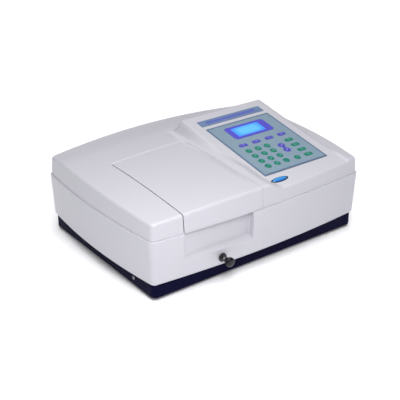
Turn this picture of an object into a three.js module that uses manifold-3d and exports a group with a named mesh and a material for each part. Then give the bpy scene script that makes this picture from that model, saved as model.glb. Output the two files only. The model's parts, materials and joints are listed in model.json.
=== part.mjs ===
// A bench UV-visible spectrophotometer, built as an assembly of separate pieces.
// Millimetres, +X to the instrument's right, +Y to its back, +Z up.
// The origin is at the middle of its footprint, on the surface it stands on.
import * as THREE from 'three';
import { mergeVertices } from 'three/addons/utils/BufferGeometryUtils.js';
import { ConvexGeometry } from 'three/addons/geometries/ConvexGeometry.js';
import Module from 'manifold-3d';

const wasm = await Module();
wasm.setup();

// ---------------------------------------------------------------- driving dimensions
const GAP = 0.3; // clearance between pieces that touch
const WALL = 2.6; // moulded housing wall
const FOOT = { height: 5, radius: 13, insetX: 46, insetY: 40 };
const TRAY = { halfX: 230, halfY: 167.9, height: 25.9, corner: 11, sheet: 2 };

// Housing outline: four shallow arcs joined by corner fillets.
const OUTLINE = { cornerX: 234.5, cornerY: 172.8, bulgeX: 12.4, bulgeY: 12.6, fillet: 14 };
const OUTLINE_STEPS = { side: 4, fillet: 3, front: 9 };
const PARTING_Z = 110.7; // where the upper cover meets the lower housing
const HOUSING = { bottomZ: TRAY.height + GAP, draft: 3.2, bottomRound: 5, floor: 3, ledge: 1.2 };
const COVER = { bottomZ: PARTING_Z + 0.2, draft: 3.2, edgeRadius: 9 };
const CROWN = { base: 138, riseX: 12, spanX: 240, riseY: 12, spanY: 231, peakY: 50 };

// Console: a plane tilted towards the operator on the right of the cover.
const CONSOLE = {
  tilt: THREE.MathUtils.degToRad(10.2),
  originY: -181,
  originZ: 136,
  left: 15,
  right: 205,
  backY: 88,
  sideSlope: 0.65,
  rightSlope: 0.5,
  backSlope: 0.6,
  rampLeft: -20,
  rampRight: 18,
};
const KEYPAD = { x0: 33, x1: 185.6, v0: 45.2, v1: 223, bottom: -1.2, top: 0.5, corner: 3 };
const HEADER = { x0: 33, x1: 185.5, v0: 233, v1: 252.8, bottom: -0.6, top: 0.3, corner: 1.5 };
const BEZEL = { x0: 64, x1: 159, v0: 166.6, v1: 209.3, top: 0.7, corner: 7 };
const SCREEN = { x0: 76.5, x1: 142.5, v0: 173.7, v1: 203.7, top: 0.4, corner: 1 };
const KEY = { clearance: 0.35, flange: 1, flangeTop: -1.6, flangeThick: 1.4, proud: 1.3 };
const ROUND_KEY_RADIUS = 6.2;
const ARROW_KEY_RADIUS = 6;
const BAR_KEY = { width: 18, height: 9, corner: 3 };
const FUNCTION_KEY = { width: 18, height: 8.5, corner: 2.4 };
const DIGIT_GRID = { x: 60, v: 67.8, pitchX: 21.85, pitchV: 18.7 };
const BAR_COLUMN = { x: 156.4, v: 65.9, pitchV: 18.75 };
const FUNCTION_ROW = { x: 63, v: 144.9, pitchX: 31.43 };
const EXTRA_KEY = { x: 129.4, v: 66.3 };
const ARROW_KEYS = { x: 129.5, down: 95.7, up: 112.3 };
const BADGE = { x: 49.8, v: 23.8, halfLength: 19.4, halfWidth: 6.5, height: 2.4 };

// Sample lid and its goose-neck hinge.
const LID = { x0: -171.3, x1: -9, y1: 46, z0: 111.3 };
const LID_OPENING = { x0: -172.8, x1: -8.2, y1: 47.5 };
const HINGE = {
  y: 75,
  z: 148,
  armWidth: 5,
  armThick: 3,
  pinRadius: 2,
  headRadius: 4.2,
  armLeftX: -165,
  armRightX: -13,
};
const HOOD = { x0: -157, x1: -17, y0: -156, y1: 6, z0: 112, z1: 139, wall: 2 };

// Sample compartment, cell carriage and pull rod.
const DECK = { x0: -186, x1: 13, y0: -166.5, y1: 92, z0: 106.7, z1: 108.7 };
const WELL = { x0: -151, x1: -21, y0: -152, y1: -18, z0: 32, wall: 2 };
const BEAM = { y: -77.5, z: 62 };
const CARRIAGE = { width: 32, y0: -88, y1: -22, z0: 35, z1: 84, pitch: 15, slot: 12.9, slotFloor: 41 };
const RAIL = { width: 10, height: 3 };
const ROD = { x: -96, z: 43, radius: 3, knobRadius: 8.8, knobLength: 15, knobFrontY: -207.2 };
const BUSH = { flangeY: -181.7, flange: 3, flangeRadius: 8, barrelRadius: 5, length: 12 };
const RECESS = { x0: -173, x1: -28, backY: -172, floorBackZ: 65, floorSlope: 0.55, fillet: 8 };

// Rear panel and what sits on it.
const REAR = { x0: -141, x1: 181, z0: 35, z1: 101, y: 168, sheet: 2, lap: 4 };
const INLET = { x: -104, z: 68, width: 56, height: 30, bodyWidth: 50, bodyHeight: 24, depth: 22 };
const SOCKET = { x: -115, width: 24, height: 16.5, depth: 16, pinLength: 10 };
const ROCKER = { x: -89, width: 12, height: 19, halfTurn: 10 };
const PORT = { x: -20, z: 68, width: 31, height: 12.5 };
const FAN = { x: 120, z: 68, size: 50, depth: 12, hole: 23, hub: 9, blade: 21.5, blades: 7, y: 150 };

// Inner works.
const MONO = { x0: 22, x1: 192, y0: -110, y1: 56, z0: 8, z1: 104, wall: 4 };
const GRATING = { x: 148, y: 14, z: 62, tableRadius: 19, blockWidth: 30 };
const WHEEL = { x: 132, z: 62, y: 64, radius: 30, thick: 3, holes: 6, holeRing: 22, holeRadius: 6 };
const LAMP = { x0: 78, x1: 162, y0: 84, y1: 140, z0: 8, z1: 104 };
const SUPPLY = { x0: -200, x1: -50, y0: 98, y1: 146, z0: 8, z1: 88 };
const DETECTOR = { x0: -206, x1: -156, y0: -106, y1: -49, z0: 8, z1: 92 };
const BOARD = { x0: 32, x1: 188, y0: -128, y1: 58, z: 114, thick: 1.6 };

// ---------------------------------------------------------------- solids
function toSolid(geometry) {
  const bare = geometry.clone();
  bare.deleteAttribute('normal');
  bare.deleteAttribute('uv');
  const merged = mergeVertices(bare, 1e-4);
  const vertProperties = new Float32Array(merged.attributes.position.array);
  const triVerts = new Uint32Array(merged.index.array);
  return new wasm.Manifold(new wasm.Mesh({ numProp: 3, vertProperties, triVerts }));
}

function toGeometry(solid) {
  const mesh = solid.getMesh();
  const geometry = new THREE.BufferGeometry();
  geometry.setAttribute('position', new THREE.BufferAttribute(mesh.vertProperties, 3));
  geometry.setIndex(new THREE.BufferAttribute(mesh.triVerts, 1));
  geometry.computeVertexNormals();
  return geometry;
}

function box(x0, x1, y0, y1, z0, z1) {
  const geometry = new THREE.BoxGeometry(x1 - x0, y1 - y0, z1 - z0);
  geometry.translate((x0 + x1) / 2, (y0 + y1) / 2, (z0 + z1) / 2);
  return toSolid(geometry);
}

function roundedRectangle(x0, x1, y0, y1, radius) {
  const shape = new THREE.Shape();
  shape.absarc(x1 - radius, y0 + radius, radius, -Math.PI / 2, 0);
  shape.absarc(x1 - radius, y1 - radius, radius, 0, Math.PI / 2);
  shape.absarc(x0 + radius, y1 - radius, radius, Math.PI / 2, Math.PI);
  shape.absarc(x0 + radius, y0 + radius, radius, Math.PI, Math.PI * 1.5);
  shape.closePath();
  return shape;
}

function extrude(shape, z0, z1, curveSegments = 2) {
  const geometry = new THREE.ExtrudeGeometry(shape, { depth: z1 - z0, bevelEnabled: false, curveSegments });
  geometry.translate(0, 0, z0);
  return geometry;
}

function plate(x0, x1, y0, y1, radius, z0, z1) {
  return toSolid(extrude(roundedRectangle(x0, x1, y0, y1, radius), z0, z1));
}

// A profile drawn as (y, z) points and extruded along X.
function extrudeAlongX(points, x0, x1) {
  const shape = new THREE.Shape(points.map(([y, z]) => new THREE.Vector2(y, z)));
  const geometry = extrude(shape, x0, x1);
  const toX = new THREE.Matrix4().makeBasis(
    new THREE.Vector3(0, 1, 0),
    new THREE.Vector3(0, 0, 1),
    new THREE.Vector3(1, 0, 0),
  );
  geometry.applyMatrix4(toX);
  return toSolid(geometry);
}

function cylinderX(x0, x1, y, z, radius, segments = 16) {
  const geometry = new THREE.CylinderGeometry(radius, radius, x1 - x0, segments);
  geometry.rotateZ(Math.PI / 2);
  geometry.translate((x0 + x1) / 2, y, z);
  return toSolid(geometry);
}

function cylinderY(y0, y1, x, z, radius, segments = 16) {
  const geometry = new THREE.CylinderGeometry(radius, radius, y1 - y0, segments);
  geometry.translate(x, (y0 + y1) / 2, z);
  return toSolid(geometry);
}

function cylinderZ(z0, z1, x, y, radius, segments = 16) {
  const geometry = new THREE.CylinderGeometry(radius, radius, z1 - z0, segments);
  geometry.rotateX(Math.PI / 2);
  geometry.translate(x, y, (z0 + z1) / 2);
  return toSolid(geometry);
}

// A turned piece: a closed half profile of (radius, height) points about Z.
function turned(profile, segments = 16) {
  const points = profile.map(([radius, height]) => new THREE.Vector2(radius, height));
  const geometry = new THREE.LatheGeometry(points, segments);
  geometry.rotateX(Math.PI / 2);
  return toSolid(geometry);
}

// ---------------------------------------------------------------- housing outline
// The outline moved inwards by a distance, as a ring of (x, y) points, counter-clockwise.
function outline(inset) {
  const { cornerX, cornerY, bulgeX, bulgeY } = OUTLINE;
  const sideRadius = (cornerY ** 2 + bulgeX ** 2) / (2 * bulgeX) - inset;
  const frontRadius = (cornerX ** 2 + bulgeY ** 2) / (2 * bulgeY) - inset;
  const sideCentre = cornerX + bulgeX - inset - sideRadius;
  const frontCentre = cornerY + bulgeY - inset - frontRadius;
  const fillet = Math.max(OUTLINE.fillet - inset, 1);

  // The fillet's centre is where the two arcs, moved in by the fillet, cross.
  const [r1, r2] = [sideRadius - fillet, frontRadius - fillet];
  const distance = Math.hypot(sideCentre, frontCentre);
  const along = (r1 ** 2 - r2 ** 2 + distance ** 2) / (2 * distance);
  const across = Math.sqrt(r1 ** 2 - along ** 2);
  const [ux, uy] = [-sideCentre / distance, frontCentre / distance];
  const centreX = sideCentre + along * ux - across * uy;
  const centreY = along * uy + across * ux;

  const quadrant = [];
  const sideEnd = Math.atan2(centreY, centreX - sideCentre);
  const frontEnd = Math.atan2(centreY - frontCentre, centreX);
  const arc = (cx, cy, radius, from, to, steps, skip) => {
    for (let i = skip; i <= steps; i++) {
      const angle = from + ((to - from) * i) / steps;
      quadrant.push([cx + radius * Math.cos(angle), cy + radius * Math.sin(angle)]);
    }
  };
  arc(sideCentre, 0, sideRadius, 0, sideEnd, OUTLINE_STEPS.side, 0);
  arc(centreX, centreY, fillet, sideEnd, frontEnd, OUTLINE_STEPS.fillet, 1);
  arc(0, frontCentre, frontRadius, frontEnd, Math.PI / 2, OUTLINE_STEPS.front, 1);

  const ring = [...quadrant];
  ring.push(...quadrant.slice(0, -1).reverse().map(([x, y]) => [-x, y]));
  ring.push(...quadrant.slice(1).map(([x, y]) => [-x, -y]));
  ring.push(...quadrant.slice(1, -1).reverse().map(([x, y]) => [x, -y]));
  return ring;
}

// A closed solid through rings of (x, y, z) points of equal count, from the lowest up.
function loft(rings) {
  const count = rings[0].length;
  const positions = rings.flat(2);
  const index = [];
  for (let level = 0; level < rings.length - 1; level++) {
    for (let i = 0; i < count; i++) {
      const j = (i + 1) % count;
      const [a, b] = [level * count + i, level * count + j];
      index.push(a, b, b + count, a, b + count, a + count);
    }
  }
  const addCap = (level, facingUp) => {
    const middle = positions.length / 3;
    const sum = rings[level].reduce((total, p) => total.map((value, k) => value + p[k] / count), [0, 0, 0]);
    positions.push(...sum);
    for (let i = 0; i < count; i++) {
      const [a, b] = [level * count + i, level * count + ((i + 1) % count)];
      index.push(middle, facingUp ? a : b, facingUp ? b : a);
    }
  };
  addCap(0, false);
  addCap(rings.length - 1, true);
  const geometry = new THREE.BufferGeometry();
  geometry.setAttribute('position', new THREE.Float32BufferAttribute(positions, 3));
  geometry.setIndex(index);
  return toSolid(geometry);
}

function flatRing(inset, z) {
  return outline(inset).map(([x, y]) => [x, y, z]);
}

// ---------------------------------------------------------------- top surfaces
function crown(x, y) {
  const alongX = 1 - (x / CROWN.spanX) ** 2;
  const alongY = 1 - ((y - CROWN.peakY) / CROWN.spanY) ** 2;
  return CROWN.base + CROWN.riseX * alongX + CROWN.riseY * alongY;
}

function consoleHeight(y) {
  return CONSOLE.originZ + (y - CONSOLE.originY) * Math.tan(CONSOLE.tilt);
}

// The height of the cover's rim: it dips from the crown to the console where that is lower.
function rimHeight(x, y) {
  const dip = Math.max(crown(x, y) - consoleHeight(y), 0);
  const enter = THREE.MathUtils.smoothstep(x, CONSOLE.rampLeft, CONSOLE.rampRight);
  const leave = 1 - THREE.MathUtils.smoothstep(x, CONSOLE.right, CONSOLE.right + 10);
  return crown(x, y) - dip * enter * leave;
}

// The cover's bulk with its faces moved inwards by a thickness.
function coverBulk(thickness, bottomZ) {
  const radius = COVER.edgeRadius - thickness;
  const inset = HOUSING.ledge + thickness;
  const rings = [flatRing(inset, bottomZ)];
  for (const degrees of [0, 30, 60, 90]) {
    const angle = THREE.MathUtils.degToRad(degrees);
    const ring = outline(inset + COVER.draft + radius * (1 - Math.cos(angle)));
    const drop = thickness + radius * (1 - Math.sin(angle));
    rings.push(ring.map(([x, y]) => [x, y, rimHeight(x, y) - drop]));
  }
  const edge = rings[rings.length - 1];
  for (const scale of [0.86, 0.66, 0.42, 0.18]) {
    rings.push(edge.map(([x, y]) => [x * scale, y * scale, crown(x * scale, y * scale) - thickness]));
  }
  return loft(rings);
}

// The wedge that carries the console above the crown, between sloping side and back faces.
function consoleWedge(thickness) {
  const lift = 2;
  const bottomZ = COVER.bottomZ + 17;
  const frontY = -100;
  const backY = CONSOLE.backY - thickness;
  const backFall = consoleHeight(backY) - bottomZ;
  const corners = [
    [frontY, bottomZ],
    [frontY, consoleHeight(frontY) + lift],
    [backY - lift * CONSOLE.backSlope, consoleHeight(backY) + lift],
    [backY + backFall * CONSOLE.backSlope, bottomZ],
  ];
  const points = [];
  for (const [y, z] of corners) {
    const fall = consoleHeight(y) - z;
    points.push(new THREE.Vector3(CONSOLE.left + 1.2 * thickness - fall * CONSOLE.sideSlope, y, z));
    points.push(new THREE.Vector3(CONSOLE.right - 1.1 * thickness + fall * CONSOLE.rightSlope, y, z));
  }
  return toSolid(new ConvexGeometry(points));
}

// Everything above the console's plane, with a ramp up to the lid and a low rim on the right.
function consoleCutter(thickness) {
  const height = 60;
  const rise = height * 2.4;
  const points = [];
  for (const y of [-230, 230]) {
    const z = consoleHeight(y) - thickness / Math.cos(CONSOLE.tilt);
    points.push(new THREE.Vector3(CONSOLE.left - thickness, y, z));
    points.push(new THREE.Vector3(CONSOLE.right + 2 + thickness, y, z));
    points.push(new THREE.Vector3(CONSOLE.left - thickness - rise, y, z + height));
    points.push(new THREE.Vector3(CONSOLE.right + 2 + thickness + height, y, z + height));
  }
  return toSolid(new ConvexGeometry(points));
}

function coverSolid(thickness, bottomZ) {
  return coverBulk(thickness, bottomZ).add(consoleWedge(thickness)).subtract(consoleCutter(thickness));
}

const coverOuter = coverSolid(0, COVER.bottomZ);
const coverInner = coverSolid(WALL, COVER.bottomZ - 2);

// ---------------------------------------------------------------- materials and placing
const whitePlastic = { color: 0xdcdce6, roughness: 0.42, metalness: 0 };
const blackPlastic = { color: 0x14141a, roughness: 0.45, metalness: 0 };
const blackPaint = { color: 0x1a1930, roughness: 0.5, metalness: 0.2 };
const rubber = { color: 0x151515, roughness: 0.9, metalness: 0 };
const panelBlue = { color: 0x8ca0b8, roughness: 0.5, metalness: 0 };
const stripBlue = { color: 0x6a80b0, roughness: 0.5, metalness: 0 };
const bezelViolet = { color: 0x5c5cc4, roughness: 0.4, metalness: 0 };
const screenBlue = { color: 0x58a0ff, roughness: 0.15, metalness: 0 };
const greenKey = { color: 0x2c9a80, roughness: 0.5, metalness: 0 };
const violetKey = { color: 0x5a55c0, roughness: 0.5, metalness: 0 };
const badgeBlue = { color: 0x2a86d0, roughness: 0.25, metalness: 0 };
const steel = { color: 0xb4b6ba, roughness: 0.35, metalness: 0.9 };
const aluminium = { color: 0x9a9ca0, roughness: 0.5, metalness: 0.8 };
const blackAnodised = { color: 0x202124, roughness: 0.55, metalness: 0.5 };
const boardGreen = { color: 0x1d5b3a, roughness: 0.6, metalness: 0 };
const zincPlate = { color: 0xc0c2bd, roughness: 0.4, metalness: 0.85 };

const instrument = new THREE.Group();
const bodyBackY = OUTLINE.cornerY + OUTLINE.bulgeY;
instrument.position.set(0, -(bodyBackY + ROD.knobFrontY) / 2, FOOT.height);

const consoleGroup = new THREE.Group();
consoleGroup.position.set(0, CONSOLE.originY, CONSOLE.originZ);
consoleGroup.rotation.x = CONSOLE.tilt;
instrument.add(consoleGroup);

function add(parent, name, solid, finish, position = [0, 0, 0]) {
  const mesh = new THREE.Mesh(toGeometry(solid), new THREE.MeshStandardMaterial(finish));
  mesh.name = name;
  mesh.position.set(...position);
  parent.add(mesh);
}

// A solid of the console's own frame, put into the instrument's frame.
function onConsole(solid) {
  const cosine = Math.cos(CONSOLE.tilt);
  const sine = Math.sin(CONSOLE.tilt);
  const columns = [1, 0, 0, 0, 0, cosine, sine, 0, 0, -sine, cosine, 0];
  return solid.transform([...columns, 0, CONSOLE.originY, CONSOLE.originZ, 1]);
}

// ---------------------------------------------------------------- base tray and feet
function baseTray() {
  const { halfX, halfY, height, corner, sheet } = TRAY;
  const outer = plate(-halfX, halfX, -halfY, halfY, corner, 0, height);
  const [innerX, innerY] = [halfX - sheet, halfY - sheet];
  return outer.subtract(plate(-innerX, innerX, -innerY, innerY, corner - sheet, sheet, 40));
}
add(instrument, 'base_tray', baseTray(), blackPaint);

const footProfile = [
  [0, -FOOT.height],
  [FOOT.radius - 2, -FOOT.height],
  [FOOT.radius, -FOOT.height + 2],
  [FOOT.radius, -GAP],
  [0, -GAP],
];
for (const [sideName, sx] of [['left', -1], ['right', 1]]) {
  for (const [endName, sy] of [['front', -1], ['rear', 1]]) {
    const position = [sx * (TRAY.halfX - FOOT.insetX), sy * (TRAY.halfY - FOOT.insetY), 0];
    add(instrument, `foot_${endName}_${sideName}`, turned(footProfile), rubber, position);
  }
}

// ---------------------------------------------------------------- lower housing
function housingBulk(thickness) {
  const { bottomZ, draft, bottomRound } = HOUSING;
  const rings = [];
  if (thickness === 0) {
    rings.push(flatRing(draft + bottomRound * 0.8, bottomZ));
    rings.push(flatRing(draft + bottomRound * 0.25, bottomZ + bottomRound * 0.35));
    rings.push(flatRing(draft, bottomZ + bottomRound));
    rings.push(flatRing(0, PARTING_Z - 1));
    rings.push(flatRing(0.7, PARTING_Z));
  } else {
    rings.push(flatRing(draft + bottomRound, bottomZ + HOUSING.floor));
    rings.push(flatRing(draft + thickness, bottomZ + bottomRound + 2));
    rings.push(flatRing(thickness, PARTING_Z + 1));
  }
  return loft(rings);
}

// The finger recess under the lid's front edge, with its faces moved out by a margin.
function fingerRecess(margin) {
  const { x0, x1, backY, floorBackZ, floorSlope, fillet } = RECESS;
  const top = PARTING_Z + 5;
  const plan = plate(x0 - margin, x1 + margin, -240, backY + margin, fillet + margin, 20, top);
  const frontZ = floorBackZ - floorSlope * 30 - margin;
  const section = [
    [backY - 30, frontZ],
    [backY + 10, frontZ + floorSlope * 40],
    [backY + 10, top],
    [backY - 30, top],
  ];
  return plan.intersect(extrudeAlongX(section, -260, 40));
}

function lowerHousing() {
  const { bottomZ, floor } = HOUSING;
  const floorHole = plate(-222, 222, -160, 160, 8, bottomZ - 1, bottomZ + floor + 1);
  const hollow = housingBulk(WALL).subtract(fingerRecess(WALL));
  let shell = housingBulk(0).subtract(fingerRecess(0)).subtract(hollow).subtract(floorHole);
  shell = shell.subtract(cylinderY(-200, -150, ROD.x, ROD.z, BUSH.barrelRadius + GAP, 20));
  const { x0, x1, z0, z1, lap } = REAR;
  return shell.subtract(box(x0 + lap, x1 - lap, 150, 200, z0 + lap, z1 - lap));
}
add(instrument, 'lower_housing', lowerHousing(), whitePlastic);

// ---------------------------------------------------------------- upper cover
// The skirt that hangs round the lid opening down to the compartment deck.
function openingSkirt() {
  const { x0, x1, y1 } = LID_OPENING;
  const skirtBottom = DECK.z1 + 1.5;
  const ring = box(x0 - WALL, x1 + WALL, -166, y1 + WALL, skirtBottom, 190);
  let skirt = ring.subtract(box(x0, x1, -300, y1, 0, 200)).intersect(coverSolid(0, skirtBottom - 1));
  for (const x of [HINGE.armLeftX, HINGE.armRightX]) {
    skirt = skirt.subtract(box(x - 3.6, x + 3.6, y1 - 1, y1 + WALL + 1, 0, 152));
  }
  return skirt;
}

function upperCover() {
  const { x0, x1, y1 } = LID_OPENING;
  let shell = coverOuter.subtract(coverInner);
  shell = shell.subtract(box(x0, x1, -300, y1, 0, 200)).add(openingSkirt());
  const pocket = ({ x0: left, x1: right, v0, v1, corner, bottom }) =>
    onConsole(plate(left - GAP, right + GAP, v0 - GAP, v1 + GAP, corner, bottom - GAP, 5));
  shell = shell.subtract(pocket(KEYPAD)).subtract(pocket(HEADER));
  const window = plate(KEYPAD.x0 + 8, KEYPAD.x1 - 8, KEYPAD.v0 + 8, KEYPAD.v1 - 8, 3, -10, 5);
  return shell.subtract(onConsole(window));
}
add(instrument, 'upper_cover', upperCover(), whitePlastic);

// ---------------------------------------------------------------- console pieces
function keyOutline(shapeName, margin) {
  if (shapeName === 'round') return { radius: ROUND_KEY_RADIUS + margin };
  if (shapeName === 'arrow') return { radius: ARROW_KEY_RADIUS + margin };
  const { width, height, corner } = shapeName === 'bar' ? BAR_KEY : FUNCTION_KEY;
  return { width: width + 2 * margin, height: height + 2 * margin, corner: corner + margin };
}

function keySlab(shapeName, x, v, margin, z0, z1) {
  const size = keyOutline(shapeName, margin);
  if (size.radius) return cylinderZ(z0, z1, x, v, size.radius, 12);
  const [halfX, halfV] = [size.width / 2, size.height / 2];
  return plate(x - halfX, x + halfX, v - halfV, v + halfV, size.corner, z0, z1);
}

// Every key: its name, outline, place on the console and colour.
const keys = [];
for (let row = 0; row < 4; row++) {
  for (let column = 0; column < 3; column++) {
    const x = DIGIT_GRID.x + column * DIGIT_GRID.pitchX;
    const v = DIGIT_GRID.v + row * DIGIT_GRID.pitchV;
    keys.push({ name: `key_digit_${row + 1}_${column + 1}`, shape: 'round', x, v, finish: greenKey });
  }
  const v = BAR_COLUMN.v + row * BAR_COLUMN.pitchV;
  keys.push({ name: `key_mode_${row + 1}`, shape: 'bar', x: BAR_COLUMN.x, v, finish: greenKey });
  const x = FUNCTION_ROW.x + row * FUNCTION_ROW.pitchX;
  keys.push({ name: `key_function_${row + 1}`, shape: 'function', x, v: FUNCTION_ROW.v, finish: violetKey });
}
keys.push({ name: 'key_extra', shape: 'round', ...EXTRA_KEY, finish: greenKey });
keys.push({ name: 'key_arrow_down', shape: 'arrow', x: ARROW_KEYS.x, v: ARROW_KEYS.down, finish: violetKey });
keys.push({ name: 'key_arrow_up', shape: 'arrow', x: ARROW_KEYS.x, v: ARROW_KEYS.up, finish: violetKey });

// A key is a cap with a wider flange that keeps it under the panel.
for (const key of keys) {
  const flangeBottom = KEY.flangeTop - KEY.flangeThick;
  const cap = keySlab(key.shape, 0, 0, 0, KEY.flangeTop - 0.5, KEY.proud);
  const flange = keySlab(key.shape, 0, 0, KEY.flange, flangeBottom, KEY.flangeTop);
  add(consoleGroup, key.name, cap.add(flange), key.finish, [key.x, key.v, 0]);
}

function keypadPanel() {
  const { x0, x1, v0, v1, bottom, top, corner } = KEYPAD;
  let panel = plate(x0, x1, v0, v1, corner - GAP, bottom, top);
  for (const key of keys) {
    panel = panel.subtract(keySlab(key.shape, key.x, key.v, KEY.clearance, bottom - 1, top + 1));
  }
  const { x0: bx0, x1: bx1, v0: bv0, v1: bv1, corner: bezelCorner } = BEZEL;
  return panel.subtract(plate(bx0 - GAP, bx1 + GAP, bv0 - GAP, bv1 + GAP, bezelCorner, bottom - 1, top + 1));
}
add(consoleGroup, 'keypad_panel', keypadPanel(), panelBlue);

function headerStrip() {
  const { x0, x1, v0, v1, corner, bottom, top } = HEADER;
  return plate(x0, x1, v0, v1, corner, bottom, top);
}
add(consoleGroup, 'header_strip', headerStrip(), stripBlue);

function screenBezel() {
  const frame = plate(BEZEL.x0, BEZEL.x1, BEZEL.v0, BEZEL.v1, BEZEL.corner, KEYPAD.bottom, BEZEL.top);
  const { x0, x1, v0, v1, corner } = SCREEN;
  return frame.subtract(plate(x0 - GAP, x1 + GAP, v0 - GAP, v1 + GAP, corner, -5, 5));
}
add(consoleGroup, 'lcd_bezel', screenBezel(), bezelViolet);
const screen = plate(SCREEN.x0, SCREEN.x1, SCREEN.v0, SCREEN.v1, SCREEN.corner, KEYPAD.bottom, SCREEN.top);
add(consoleGroup, 'lcd_window', screen, screenBlue);

function badge() {
  const { halfLength, halfWidth, height } = BADGE;
  const profile = [
    [0, GAP],
    [1, GAP],
    [1, height * 0.5],
    [0.93, height * 0.7],
    [0.6, height * 0.92],
    [0, height],
  ];
  return turned(profile, 24).scale([halfLength, halfWidth, 1]);
}
add(consoleGroup, 'badge', badge(), badgeBlue, [BADGE.x, BADGE.v, 0]);

// ---------------------------------------------------------------- sample lid and hinge
function sampleLid() {
  const bounds = box(LID.x0, LID.x1, -300, LID.y1, LID.z0, 200);
  return coverOuter.subtract(coverInner).intersect(bounds);
}
add(instrument, 'sample_lid', sampleLid(), whitePlastic);

// The black hood under the lid that closes the sample well to light.
function lidHood() {
  const { x0, x1, y0, y1, z0, z1, wall } = HOOD;
  const shell = box(x0, x1, y0, y1, z0, z1);
  return shell.subtract(box(x0 + wall, x1 - wall, y0 + wall, y1 - wall, z0 - 1, z1 - wall));
}
add(instrument, 'lid_hood', lidHood(), blackPlastic);

// The closed outline of a strip of the given width along a route of (y, z) points, mitred at its bends.
function stripOutline(route, width) {
  const leftSide = [];
  const rightSide = [];
  const heading = (from, to) => new THREE.Vector2(to[0] - from[0], to[1] - from[1]).normalize();
  route.forEach((point, i) => {
    const before = heading(route[Math.max(i - 1, 0)], route[Math.max(i, 1)]);
    const after = heading(route[Math.min(i, route.length - 2)], route[Math.min(i + 1, route.length - 1)]);
    const mean = before.clone().add(after).normalize();
    const reach = width / 2 / Math.max(mean.dot(before), 0.3);
    leftSide.push([point[0] - mean.y * reach, point[1] + mean.x * reach]);
    rightSide.push([point[0] + mean.y * reach, point[1] - mean.x * reach]);
  });
  return [...rightSide, ...leftSide.reverse()];
}

// A goose-neck arm from the hinge pin down, forward and up to the lid.
function hingeArm(x, pinSide) {
  const { y, z, armThick, armWidth, pinRadius } = HINGE;
  const lidUnderside = crown(x, 26) - WALL - 2.5;
  const route = [
    [y - 0.3, z + 3],
    [y + 3, z - 29],
    [y - 1, z - 33.5],
    [y - 30, z - 34],
    [y - 36, z - 30],
    [27, lidUnderside],
  ];
  const arm = extrudeAlongX(stripOutline(route, armWidth), x - armThick / 2, x + armThick / 2);
  const pinEnd = x + pinSide * (armThick / 2 + 6);
  return arm.add(cylinderX(Math.min(x, pinEnd), Math.max(x, pinEnd), y, z, pinRadius, 12));
}

// The post that carries a hinge pin, standing on the compartment deck.
function hingeBracket(x, pinSide) {
  const near = x + pinSide * (HINGE.armThick / 2 + 1);
  const far = near + pinSide * 4;
  const [x0, x1] = [Math.min(near, far), Math.max(near, far)];
  const { headRadius } = HINGE;
  const post = box(x0, x1, HINGE.y - headRadius, HINGE.y + headRadius, DECK.z1 + GAP, HINGE.z);
  const head = cylinderX(x0, x1, HINGE.y, HINGE.z, headRadius, 16);
  const toe = x1 + (pinSide > 0 ? 7 : 0);
  const heel = x0 - (pinSide > 0 ? 0 : 7);
  const base = box(heel, toe, HINGE.y - headRadius, HINGE.y + 12, DECK.z1 + GAP, DECK.z1 + GAP + 2.5);
  const hole = cylinderX(x0 - 1, x1 + 1, HINGE.y, HINGE.z, HINGE.pinRadius + 0.25, 16);
  return post.add(head).add(base).subtract(hole);
}
for (const [sideName, x, pinSide] of [['left', HINGE.armLeftX, -1], ['right', HINGE.armRightX, 1]]) {
  add(instrument, `hinge_arm_${sideName}`, hingeArm(x, pinSide), steel);
  add(instrument, `hinge_bracket_${sideName}`, hingeBracket(x, pinSide), zincPlate);
}

// ---------------------------------------------------------------- sample compartment
function sampleCompartment() {
  const { x0, x1, y0, y1, z0, wall } = WELL;
  const deck = box(DECK.x0, DECK.x1, DECK.y0, DECK.y1, DECK.z0, DECK.z1);
  let tub = deck.add(box(x0, x1, y0, y1, z0, DECK.z1));
  tub = tub.subtract(box(x0 + wall, x1 - wall, y0 + wall, y1 - wall, z0 + wall, DECK.z1 + 1));
  tub = tub.subtract(cylinderX(x0 - 1, x1 + 1, BEAM.y, BEAM.z, 5, 16));
  return tub.subtract(cylinderY(y0 - 1, y0 + wall + 1, ROD.x, ROD.z, ROD.radius + 0.8, 16));
}
add(instrument, 'sample_compartment', sampleCompartment(), blackAnodised);

const railZ = WELL.z0 + WELL.wall + GAP;
const rail = box(
  ROD.x - RAIL.width / 2, ROD.x + RAIL.width / 2,
  WELL.y0 + WELL.wall + 1, WELL.y1 - WELL.wall - 1,
  railZ, railZ + RAIL.height,
);
add(instrument, 'carriage_rail', rail, steel);

// Four square cuvette slots in a row, each with a window for the light beam.
function cellCarriage() {
  const { width, y0, y1, z0, z1, pitch, slot, slotFloor } = CARRIAGE;
  const { x } = ROD;
  const half = slot / 2;
  let block = box(x - width / 2, x + width / 2, y0, y1, z0, z1);
  for (let cell = 0; cell < 4; cell++) {
    const y = BEAM.y + cell * pitch;
    block = block.subtract(box(x - half, x + half, y - half, y + half, slotFloor, z1 + 1));
    block = block.subtract(box(x - width, x + width, y - 3, y + 3, BEAM.z - 8, BEAM.z + 10));
  }
  const grooveHalf = RAIL.width / 2 + GAP;
  const grooveTop = railZ + RAIL.height + GAP;
  return block.subtract(box(x - grooveHalf, x + grooveHalf, y0 - 1, y1 + 1, 0, grooveTop));
}
add(instrument, 'cell_carriage', cellCarriage(), blackAnodised);

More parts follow.
